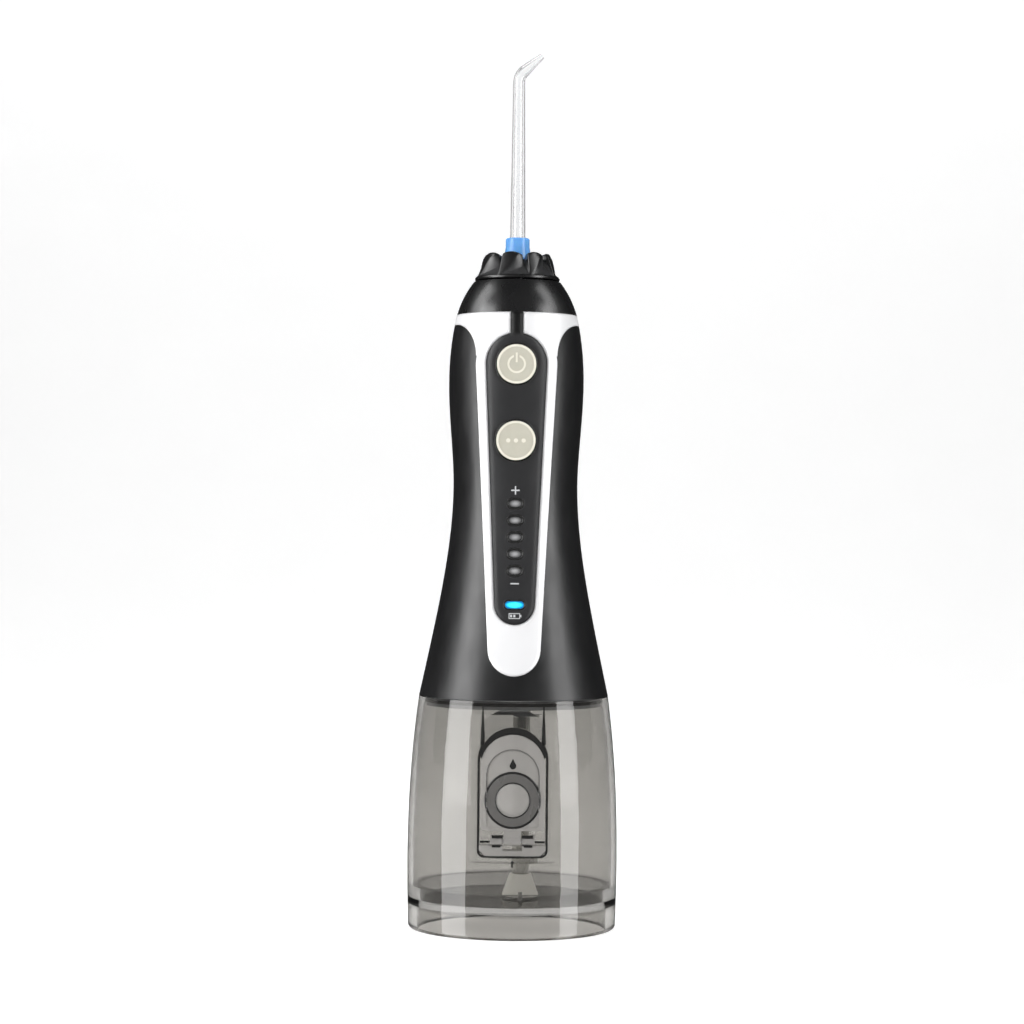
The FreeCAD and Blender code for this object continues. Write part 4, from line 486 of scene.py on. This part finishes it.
def skin_piece(name, rows, body, finish, wrap_rows=False):
    """A smooth skin over rings of points: the last ring joins the first, or each end gets a flat cap."""
    mesh = bpy.data.meshes.new(name)
    build = bmesh.new()
    grid = [[build.verts.new(point) for point in row] for row in rows]
    across = list(zip(grid, grid[1:])) + ([(grid[-1], grid[0])] if wrap_rows else [])
    for low, high in across:
        for step in range(len(low)):
            follow = (step + 1) % len(low)
            build.faces.new((low[step], low[follow], high[follow], high[step])).smooth = True
    if not wrap_rows:
        build.faces.new(reversed(grid[0]))
        build.faces.new(grid[-1])
    bmesh.ops.recalc_face_normals(build, faces=build.faces)
    build.to_mesh(mesh)
    build.free()
    return show_piece(name, mesh, body, finish)


def turned_front(outline):
    """The outline with its points counter-clockwise as seen from the front, so its face looks forward."""
    area = sum(x * nz - nx * z for (x, z), (nx, nz) in zip(outline, outline[1:] + outline[:1]))
    return outline if area > 0 else outline[::-1]


def plate_piece(name, outlines, lie, thick, body, finish, soften=0.05):
    """Thin plates from outlines of (x, z) in mm; lie(x, z) gives the y of the surface they lie on."""
    mesh = bpy.data.meshes.new(name)
    build = bmesh.new()
    for outline in outlines:
        build.faces.new([build.verts.new((x * MM, lie(x, z) - thick * MM, z * MM))
                         for x, z in turned_front(outline)])
    bmesh.ops.remove_doubles(build, verts=build.verts, dist=0.004 * MM)
    build.to_mesh(mesh)
    build.free()
    piece = show_piece(name, mesh, body, finish)
    wall = piece.modifiers.new("thickness", "SOLIDIFY")
    wall.thickness = 2 * thick * MM
    wall.offset = -1.0
    soft = piece.modifiers.new("soft edge", "BEVEL")
    soft.width = soften * MM
    soft.segments = 2
    soft.limit_method = "ANGLE"
    soft.angle_limit = math.radians(50)
    return piece


def surface_of(*names):
    """A function that gives the y of the frontmost of these parts at (x, z) in mm."""
    trees = []
    for name in names:
        mesh = parts[name].data
        trees.append(BVHTree.FromPolygons([vertex.co for vertex in mesh.vertices],
                                          [face.vertices for face in mesh.polygons]))

    def lie(x, z):
        hits = [tree.ray_cast(Vector((x * MM, -0.2, z * MM)), Vector((0, 1, 0)))[0] for tree in trees]
        return min((hit.y for hit in hits if hit), default=0.0)
    return lie


def arc(radius, centre_x, centre_z, start, end, steps):
    """Points on an arc, in degrees counted from +X towards +Z."""
    return [(centre_x + radius * math.cos(math.radians(start + (end - start) * step / steps)),
             centre_z + radius * math.sin(math.radians(start + (end - start) * step / steps)))
            for step in range(steps + 1)]


def ring_piece(name, centre, inner, outer, lie, proud, body, finish, squash=1.0, reach=0.0):
    """A raised ring with a rounded crown around a centre (x, z). reach lengthens it along X into an oval."""
    rows = []
    steps, turns = 10, 96
    middle, half = (inner + outer) / 2, (outer - inner) / 2
    for turn in range(turns):
        angle = 2 * math.pi * turn / turns
        shift = reach * (1 if math.cos(angle) > 0 else -1)
        row = []
        for step in range(steps):
            lift = 2 * math.pi * step / steps
            radius = middle + half * math.cos(lift)
            x = centre[0] + shift + radius * math.cos(angle)
            z = centre[1] + radius * squash * math.sin(angle)
            row.append((x * MM, lie(x, z) - proud * MM * math.sin(lift), z * MM))
        rows.append(row)
    return skin_piece(name, rows, body, finish, wrap_rows=True)


# %% [markdown]
# ## The turning dial
#
# The crown that turns the jet has eight petals. Between them the surface is scooped to a slanting flat that
# is wide at the foot and narrow at the top, so each petal leans over its neighbour like a propeller blade.
# The CAD dial is plainer than that. For the eye it is better drawn as a height map in polar
# coordinates: the full cone is one height, the flat is another, and a mask that sweeps round the axis
# chooses between them. The flats are duller than the petals, so their faces get a second material, a
# rougher black whose lighter colour is painted light that the scooped flats catch.

# %% Dial
dial_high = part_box("rotation_dial")[1]
DIAL_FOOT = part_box("top_collar")[1].z + 0.5 * MM
DIAL_TOP = dial_high.z - 0.2 * MM
DIAL_RADIUS = dial_high.x
PETALS = 8
PETAL_START = 16.0
PETAL_SLOPE = 0.27
PETAL_AT_RIM, PETAL_GROWTH = 0.05, 0.83


def smooth(value):
    value = max(0.0, min(1.0, value))
    return value * value * (3 - 2 * value)


def cone_height(reach):
    """Height of the full crown over its foot at a distance from the axis, as a share of its own height."""
    ladder = ((0.36, 0.50), (0.50, 0.78), (0.62, 0.965), (0.70, 1.0), (0.76, 0.985), (0.82, 0.80),
              (0.90, 0.44), (0.97, 0.17), (1.0, 0.09))
    for (near, low), (far, high) in zip(ladder, ladder[1:]):
        if reach <= far:
            return low + (high - low) * max(0.0, (reach - near) / (far - near))
    return ladder[-1][1]


def dial_height(reach, angle):
    """Height over the foot, as a share, with the petals and the flats between them."""
    climb = max(0.0, min(1.0, (1.0 - reach) / PETAL_SLOPE))
    phase = ((math.degrees(angle) + 90.0 - PETAL_START) * PETALS / 360.0) % 1.0
    petal_end = PETAL_AT_RIM + PETAL_GROWTH * climb
    petal = smooth(phase / 0.05) * smooth((petal_end - phase) / 0.09 + 0.5)
    middle = (phase - petal_end * 0.45) / max(petal_end, 0.2)
    hump = 1.0 - 0.12 * min(1.0, (2 * middle) ** 2) * smooth((climb - 0.6) * 2.5)
    full = cone_height(reach) * hump
    flat = min(full, 0.10 + (1.0 - reach) * 1.42)
    return flat + (full - flat) * petal, petal


def build_dial():
    rows = []
    well = 0.36
    rings, turns = 44, 360
    tall = DIAL_TOP - DIAL_FOOT

    def ring(reach, height):
        return [(DIAL_RADIUS * reach * math.cos(2 * math.pi * turn / turns),
                 DIAL_RADIUS * reach * math.sin(2 * math.pi * turn / turns),
                 DIAL_FOOT + height(reach, 2 * math.pi * turn / turns)) for turn in range(turns)]
    rows.append(ring(well, lambda reach, angle: 0.0))
    rows.append(ring(0.985, lambda reach, angle: 0.0))
    rows.append(ring(1.0, lambda reach, angle: 0.22 * MM))
    for step in range(rings + 1):
        reach = 1.0 - (1.0 - well) * step / rings
        rows.append(ring(reach, lambda reach, angle: tall * dial_height(reach, angle)[0]))
    dial = skin_piece("dial_crown", rows, "dial", "gloss_black", wrap_rows=True)
    dial.data.materials.append(finishes["dial_flat"])
    for face in dial.data.polygons:
        reach = math.hypot(face.center.x, face.center.y) / DIAL_RADIUS
        between = dial_height(reach, math.atan2(face.center.y, face.center.x))[1] < 0.5
        if between and 0.62 < reach < 0.97 and face.center.z > DIAL_FOOT + 0.3 * MM:
            face.material_index = 1
    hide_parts("rotation_dial")
    return dial


build_dial()
print("dial crown radius in mm:", round(DIAL_RADIUS / MM, 1))

# %% [markdown]
# ## Keys, lamps and marks on the panel
#
# Each round key gets a low dark ring round it: painted shade in its well. Its raised rim and sign are part
# of the CAD cap, so nothing is added to it: the finish reads how far forward a point is and turns the
# raised lines pale. The other marks are flat print, so they are made here: plus and minus at the ends of the
# level scale, and a small battery below the charge lamp. They are thin plates laid on the surface, with
# softened edges.

# %% Keys
panel_front = surface_of("control_panel")


def key_centre(node):
    low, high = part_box(node)
    return ((low.x + high.x) / 2 / MM, (low.z + high.z) / 2 / MM, (high.x - low.x) / 2 / MM)


def key_finish(node):
    """Warm beige, paler on the raised rim and sign, which stand a quarter of a millimetre proud."""
    finish, tree, shader = new_finish("Beige cap of " + node)
    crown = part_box(node)[0].y
    proud = spread(tree, place_value(tree, "Y"), 1.0, 0.0, crown + 0.10 * MM, crown + 0.20 * MM)
    field = blend(tree, noise(tree, 2.0, 3.0), (0.40, 0.385, 0.32), (0.45, 0.435, 0.37))
    crest = blend(tree, noise(tree, 2.0, 3.0), (0.60, 0.585, 0.50), (0.66, 0.64, 0.56))
    tree.links.new(blend(tree, proud, field, crest), shader.inputs["Base Color"])
    tree.links.new(spread(tree, noise(tree, 1.5, 4.0), 0.38, 0.50), shader.inputs["Roughness"])
    shader.inputs["Subsurface Weight"].default_value = 0.15
    shader.inputs["Subsurface Radius"].default_value = (0.0012, 0.0010, 0.0008)
    shader.inputs["Subsurface Scale"].default_value = 0.6
    bump(tree, shader, noise(tree, 0.30, 3.0), 0.005)
    return finish


def dress_key(node):
    parts[node].data.materials[0] = key_finish(node)
    x, z, radius = key_centre(node)
    # A low dark ring round the key: painted shade in its well.
    ring_piece(node + "_well_shade", (x, z), radius + 0.12, radius + 0.62, panel_front, 0.10, "handle",
               "dark_marks_and_painted_shade")
    print(node, "radius in mm:", round(radius, 1))


def bar(x, z, half_width, half_height):
    """An upright or level bar, cut into short quads so that it can follow a curved face."""
    across, up = max(1, round(half_width / 0.25)), max(1, round(half_height / 0.25))
    wide, tall = 2 * half_width / across, 2 * half_height / up
    quads = []
    for column in range(across):
        for row in range(up):
            left, low = x - half_width + wide * column, z - half_height + tall * row
            quads.append([(left, low), (left + wide, low), (left + wide, low + tall), (left, low + tall)])
    return quads


dress_key("power_button")
dress_key("mode_button")


# %% Lamps and printed marks
# Each lamp window gets a low dark ring round it: painted shade round the window.
def build_lamp_shade_rings():
    low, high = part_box("mode_light_windows")
    wide, tall = (high.x - low.x) / MM, LEVEL_LAMP_TALL / MM
    pitch = ((high.z - low.z) / MM - tall) / (LEVEL_LAMPS - 1)
    for number in range(LEVEL_LAMPS):
        z = low.z / MM + tall / 2 + pitch * number
        ring_piece("level_shade_ring_%d" % number, (0.0, z), tall / 2 - 0.05, tall / 2 + 0.75, panel_front, 0.05,
                   "handle", "dark_marks_and_painted_shade", reach=(wide - tall) / 2)
    low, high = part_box("charge_light_window")
    tall = (high.z - low.z) / MM
    ring_piece("charge_shade_ring", (0.0, (low.z + high.z) / 2 / MM), tall / 2 - 0.05, tall / 2 + 0.6, panel_front,
               0.05, "handle", "dark_marks_and_painted_shade", reach=((high.x - low.x) / MM - tall) / 2)
    return pitch


def build_print():
    low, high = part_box("mode_light_windows")
    plus, minus = high.z / MM + 3.3, low.z / MM - 3.1
    marks = bar(0, plus, 1.5, 0.24) + bar(0, minus, 1.5, 0.24)
    marks += bar(0, plus + 0.87, 0.24, 0.63) + bar(0, plus - 0.87, 0.24, 0.63)
    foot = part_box("charge_light_window")[0].z / MM - 2.6
    shell = bar(0, foot + 0.85, 2.0, 0.14) + bar(0, foot - 0.85, 2.0, 0.14) + bar(-1.86, foot, 0.14, 0.71)
    shell += bar(1.86, foot, 0.14, 0.71) + bar(2.22, foot, 0.22, 0.4)
    cells = bar(-1.15, foot, 0.36, 0.45) + bar(0.0, foot, 0.36, 0.45)
    plate_piece("panel_print", marks + shell + cells, panel_front, 0.03, "handle", "print_grey",
                soften=0.015)


print("lamp pitch in mm:", round(build_lamp_shade_rings(), 2))
build_print()

# %% [markdown]
# ## The fill door
#
# The door in the front of the tank is the busiest spot on the object. The well round it has a thin dark
# lip of painted shade, with a black finger gap of painted shade over the arch and two long notches above
# it where a thumb slides in, whose walls get dark strips of painted shade. The sealing ring that shows
# through a frosted door is drawn on its face, as a dark band round a paler disc, inside a fine arched line
# of painted shade. The knuckles of the hinge sit between dark slots of painted shadow. Each of these is a
# narrow piece that follows the surface or lies just in front of it.

# %% Door lip
WELL_GAP = 0.3
ARCH_GAP = 2.8
DOOR_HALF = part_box("lid_hinge_plate")[1].x / MM + WELL_GAP
DOOR_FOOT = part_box("lid_hinge_plate")[0].z / MM - WELL_GAP
ARCH_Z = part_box("fill_lid")[1].z / MM + ARCH_GAP - DOOR_HALF
CORNER = 2.0
tank_skin = surface_of("water_tank")
lid_skin = surface_of("fill_lid")
SEAL_Z = (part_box("lid_gasket")[0].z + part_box("lid_gasket")[1].z) / 2 / MM
SEAL_RADIUS = (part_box("lid_gasket")[1].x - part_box("lid_gasket")[0].x) / 2 / MM


def door_path():
    """The outline of the door well in (x, z), from the left end of the arch round the foot to the right."""
    left = arc(DOOR_HALF, 0, ARCH_Z, 146, 180, 8)
    foot = ([(-DOOR_HALF, ARCH_Z - 6 * step) for step in range(1, 5)]
            + arc(CORNER, -DOOR_HALF + CORNER, DOOR_FOOT + CORNER, 180, 270, 6)
            + [(-DOOR_HALF + CORNER + 2 * step, DOOR_FOOT) for step in range(1, int(DOOR_HALF - CORNER))]
            + arc(CORNER, DOOR_HALF - CORNER, DOOR_FOOT + CORNER, 270, 360, 6)
            + [(DOOR_HALF, ARCH_Z - 6 * step) for step in range(4, 0, -1)])
    return left + foot + arc(DOOR_HALF, 0, ARCH_Z, 0, 34, 8)


def ribbon(name, path, half_width, proud, lie, body, finish):
    """A low round bead along a path of (x, z); half_width(share) is its half width at a share of the way."""
    rows = []
    steps = 8
    for number, (x, z) in enumerate(path):
        before, after = path[max(0, number - 1)], path[min(len(path) - 1, number + 1)]
        along = Vector((after[0] - before[0], after[1] - before[1])).normalized()
        half = half_width(number / (len(path) - 1))
        row = []
        for step in range(steps):
            lift = 2 * math.pi * step / steps
            side = half * math.cos(lift)
            row.append(((x - along.y * side) * MM, lie(x, z) - proud * MM * math.sin(lift),
                        (z + along.x * side) * MM))
        rows.append(row)
    return skin_piece(name, rows, body, finish)


def outer_skin(x, z):
    """The tank's skin beside the well: looked up a little further out than the point itself."""
    away = 1.0 + 0.9 / max(abs(x), 6.0)
    return tank_skin(x * away, z - (0.9 if z < DOOR_FOOT + 1 else 0.0))


# A dark bead round the well: painted shade where the well's edge turns away.
ribbon("door_lip_shade", door_path(), lambda share: 0.42, 0.12, outer_skin, "tank", "dark_marks_and_painted_shade")
print("points on the door lip:", len(door_path()))


# %% Finger gap and thumb notches
def build_finger_gap():
    outer = arc(DOOR_HALF - 0.25, 0, ARCH_Z, 8, 172, 40)
    lid_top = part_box("fill_lid")[1].z / MM
    lid_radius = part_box("fill_lid")[1].x / MM
    inner = arc(lid_radius + 0.12, 0, lid_top - lid_radius, 14, 166, 40)
    quads = [[inner[step], outer[step], outer[step + 1], inner[step + 1]] for step in range(40)]
    depth = lid_skin(0, lid_top - 1.0) + 1.1 * MM
    # A black plate in the finger gap over the arch: painted shade in the gap.
    return plate_piece("finger_gap_shade", quads, lambda x, z: depth, 0.5, "tank", "dark_marks_and_painted_shade",
                       0.02)


def build_notches():
    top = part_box("water_tank")[1].z / MM - 1.8
    foot = ARCH_Z + 5.6
    for side, label in ((-1, "left"), (1, "right")):
        path = [(side * (DOOR_HALF - 1.3), foot + (top - foot) * step / 12) for step in range(13)]
        # Dark strips along the notches: painted shade on their walls, which are seen edge on.
        ribbon("thumb_notch_shade_" + label, path, lambda share: 0.85 - 0.65 * share, 0.12,
               lambda x, z: tank_skin(x * 1.06, z), "tank", "dark_marks_and_painted_shade")


build_finger_gap()
build_notches()


# %% Door face
def build_door_face():
    ring_piece("door_seal_band", (0.0, SEAL_Z), SEAL_RADIUS - 4.0, SEAL_RADIUS, lid_skin, 0.10, "lid",
               "seal_grey_and_shade_line")
    for label, inner, width in (("outer", SEAL_RADIUS - 0.75, 0.85), ("inner", SEAL_RADIUS - 4.05, 0.5)):
        ring_piece("door_seal_line_" + label, (0.0, SEAL_Z), inner, inner + width, lid_skin, 0.16, "lid",
                   "dark_marks_and_painted_shade")
    # A fine dark arched line on the lid: painted shade where its raised face steps.
    arch_half = 9.15
    arch_z = ARCH_Z - 5.1
    line = [(-arch_half, SEAL_Z + 3.0)] + arc(arch_half, 0, arch_z, 180, 0, 36) + [(arch_half, SEAL_Z + 3.0)]
    ribbon("door_arch_shade_line", line, lambda share: 0.16, 0.08, lid_skin, "lid", "seal_grey_and_shade_line")
    drop_z = SEAL_Z + 12.4
    drop = [(0.0, drop_z + 2.0)] + arc(1.15, 0, drop_z - 0.5, 35, -215, 20)
    plate_piece("door_drop", [drop], lid_skin, 0.05, "lid", "dark_marks_and_painted_shade", 0.02)


def build_hinge_slots():
    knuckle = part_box("lid_hinge_pin")
    z = (knuckle[0].z + knuckle[1].z) / 2 / MM
    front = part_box("lid_hinge_plate")[0].y + 0.35 * MM
    # Dark bars between and under the knuckles: painted shadow in the hinge's slots.
    slots = []
    for side in (-1, 1):
        slots += bar(side * 5.2, z + 1.55, 1.95, 0.55) + bar(side * 5.2, z - 1.75, 1.8, 0.40)
        slots += bar(side * 9.5, z - 0.2, 1.75, 0.36)
    plate_piece("hinge_slot_shade", slots, lambda x, at_z: front, 0.12, "tank", "dark_marks_and_painted_shade", 0.03)
    arrow_z = DOOR_FOOT - 2.2
    arrow = [(-0.9, arrow_z), (-0.3, arrow_z), (-0.3, arrow_z - 1.4), (0.3, arrow_z - 1.4), (0.3, arrow_z),
             (0.9, arrow_z), (0.0, arrow_z + 1.1)]
    plate_piece("fill_arrow", [arrow], tank_skin, 0.04, "tank", "dark_marks_and_painted_shade", 0.02)


build_door_face()
build_hinge_slots()
print("door well half width in mm:", round(DOOR_HALF, 1))

# %% [markdown]
# ## The studio
#
# A pale sweep, a floor that curves up into a wall, hides the line where the two meet from the front; from
# the side a faint horizon is left. Far from the lamps it glows a little by itself, as paper under a ceiling
# of lamps does, so it stays pale from the sides and the back. Two tall soft boxes stand to the left and
# right and draw the long upright highlights on the handle and the tank, with a smaller one above each. A
# wide one in front fills the frame and the buttons, and one overhead lights the dial. Those last two light
# the flosser but don't show in its reflections.


# %% Sweep
def build_sweep():
    mesh = bpy.data.meshes.new("studio_sweep")
    sheet = bmesh.new()
    half_width, front, bend, radius, wall = 9.0, -9.0, 1.2, 0.8, 2.4
    profile = [(front, 0.0), (bend, 0.0)]
    steps = 16
    for step in range(1, steps + 1):
        angle = math.pi / 2 * step / steps
        profile.append((bend + radius * math.sin(angle), radius - radius * math.cos(angle)))
    profile.append((bend + radius, wall))
    rows = [[sheet.verts.new((x, y, z)) for x in (-half_width, half_width)] for y, z in profile]
    for low, high in zip(rows, rows[1:]):
        sheet.faces.new((low[0], low[1], high[1], high[0])).smooth = True
    sheet.to_mesh(mesh)
    sheet.free()
    sweep = bpy.data.objects.new("studio_sweep", mesh)
    bpy.context.scene.collection.objects.link(sweep)
    finish, tree, shader = new_finish("Pale paper")
    tone = blend(tree, noise(tree, 60.0, 3.0), (0.90, 0.90, 0.90), (0.94, 0.94, 0.94))
    tree.links.new(tone, shader.inputs["Base Color"])
    shader.inputs["Roughness"].default_value = 0.75
    shader.inputs["Emission Color"].default_value = (1.0, 1.0, 1.0, 1.0)
    ahead = spread(tree, place_value(tree, "Y"), front, 0.0, front, 0.0)
    aside = tree.nodes.new("ShaderNodeCombineXYZ")
    tree.links.new(place_value(tree, "X"), aside.inputs["X"])
    tree.links.new(ahead, aside.inputs["Y"])
    away = tree.nodes.new("ShaderNodeVectorMath")
    away.operation = "LENGTH"
    tree.links.new(aside.outputs[0], away.inputs[0])
    glow = spread(tree, away.outputs["Value"], 0.30, 0.85, 0.9, 2.4)
    tree.links.new(glow, shader.inputs["Emission Strength"])
    bump(tree, shader, noise(tree, 0.8, 3.0), 0.01)
    mesh.materials.append(finish)
    sweep.visible_glossy = False
    return sweep


build_sweep()


# %% Lights
def soft_box(name, place, size, power, aim=(0.0, 0.0, 0.15), colour=(1, 1, 1)):
    lamp = bpy.data.lights.new(name, "AREA")
    lamp.shape = "RECTANGLE"
    lamp.size, lamp.size_y = size
    lamp.energy = power
    lamp.color = colour
    holder = bpy.data.objects.new(name, lamp)
    holder.location = place
    direction = Vector(aim) - Vector(place)
    holder.rotation_euler = direction.to_track_quat("-Z", "Y").to_euler()
    bpy.context.scene.collection.objects.link(holder)
    return holder


soft_box("left_strip", (-0.87, -0.50, 0.27), (0.55, 1.1), 10.0)
soft_box("right_strip", (0.86, -0.53, 0.27), (0.40, 1.1), 6.5)
soft_box("left_upper", (-0.80, -0.05, 0.80), (0.45, 0.60), 3.0)
soft_box("right_upper", (0.74, -0.17, 0.85), (0.34, 0.60), 1.8)
for name, place, size, power in (("key", (0.0, -1.35, 1.15), (1.0, 0.7), 8.0),
                                 ("overhead", (0.0, 0.5, 1.6), (1.6, 1.2), 13.0)):
    soft_box(name, place, size, power).visible_glossy = False
print("lamps:", len(bpy.data.lights))

# %% [markdown]
# ## World and camera
#
# The world is a plain grey that is lighter in front than behind, so that round parts darken towards their
# edges. Where the camera sees it directly it is white. The camera stands level at about half the flosser's
# height with a long lens, which keeps the sides nearly parallel, and it is rolled by half a degree.


# %% World
def build_world():
    world = bpy.data.worlds.new("studio")
    bpy.context.scene.world = world
    world.use_nodes = True
    tree = world.node_tree
    air = tree.nodes["Background"]
    place = tree.nodes.new("ShaderNodeTexCoord")
    split = tree.nodes.new("ShaderNodeSeparateXYZ")
    tree.links.new(place.outputs["Generated"], split.inputs[0])
    front = spread(tree, split.outputs["Y"], 0.18, 0.04, -1.0, 0.6)
    path = tree.nodes.new("ShaderNodeLightPath")
    tone = blend(tree, path.outputs["Is Camera Ray"], front, (1.0, 1.0, 1.0))
    tree.links.new(tone, air.inputs["Color"])
    air.inputs["Strength"].default_value = 1.0


build_world()

# %% Camera
ROLL = math.radians(-0.53)
eye = Vector((-0.00115, -0.9, 0.149))
lens = bpy.data.cameras.new("portrait")
lens.lens = 88.0
lens.sensor_width = 36.0
camera = bpy.data.objects.new("portrait", lens)
camera.location = eye
camera.rotation_euler = (math.pi / 2, ROLL, 0.0)
bpy.context.scene.collection.objects.link(camera)
bpy.context.scene.camera = camera
bpy.context.scene.view_settings.view_transform = "Standard"
print("eye in mm:", [round(value / MM, 1) for value in eye])
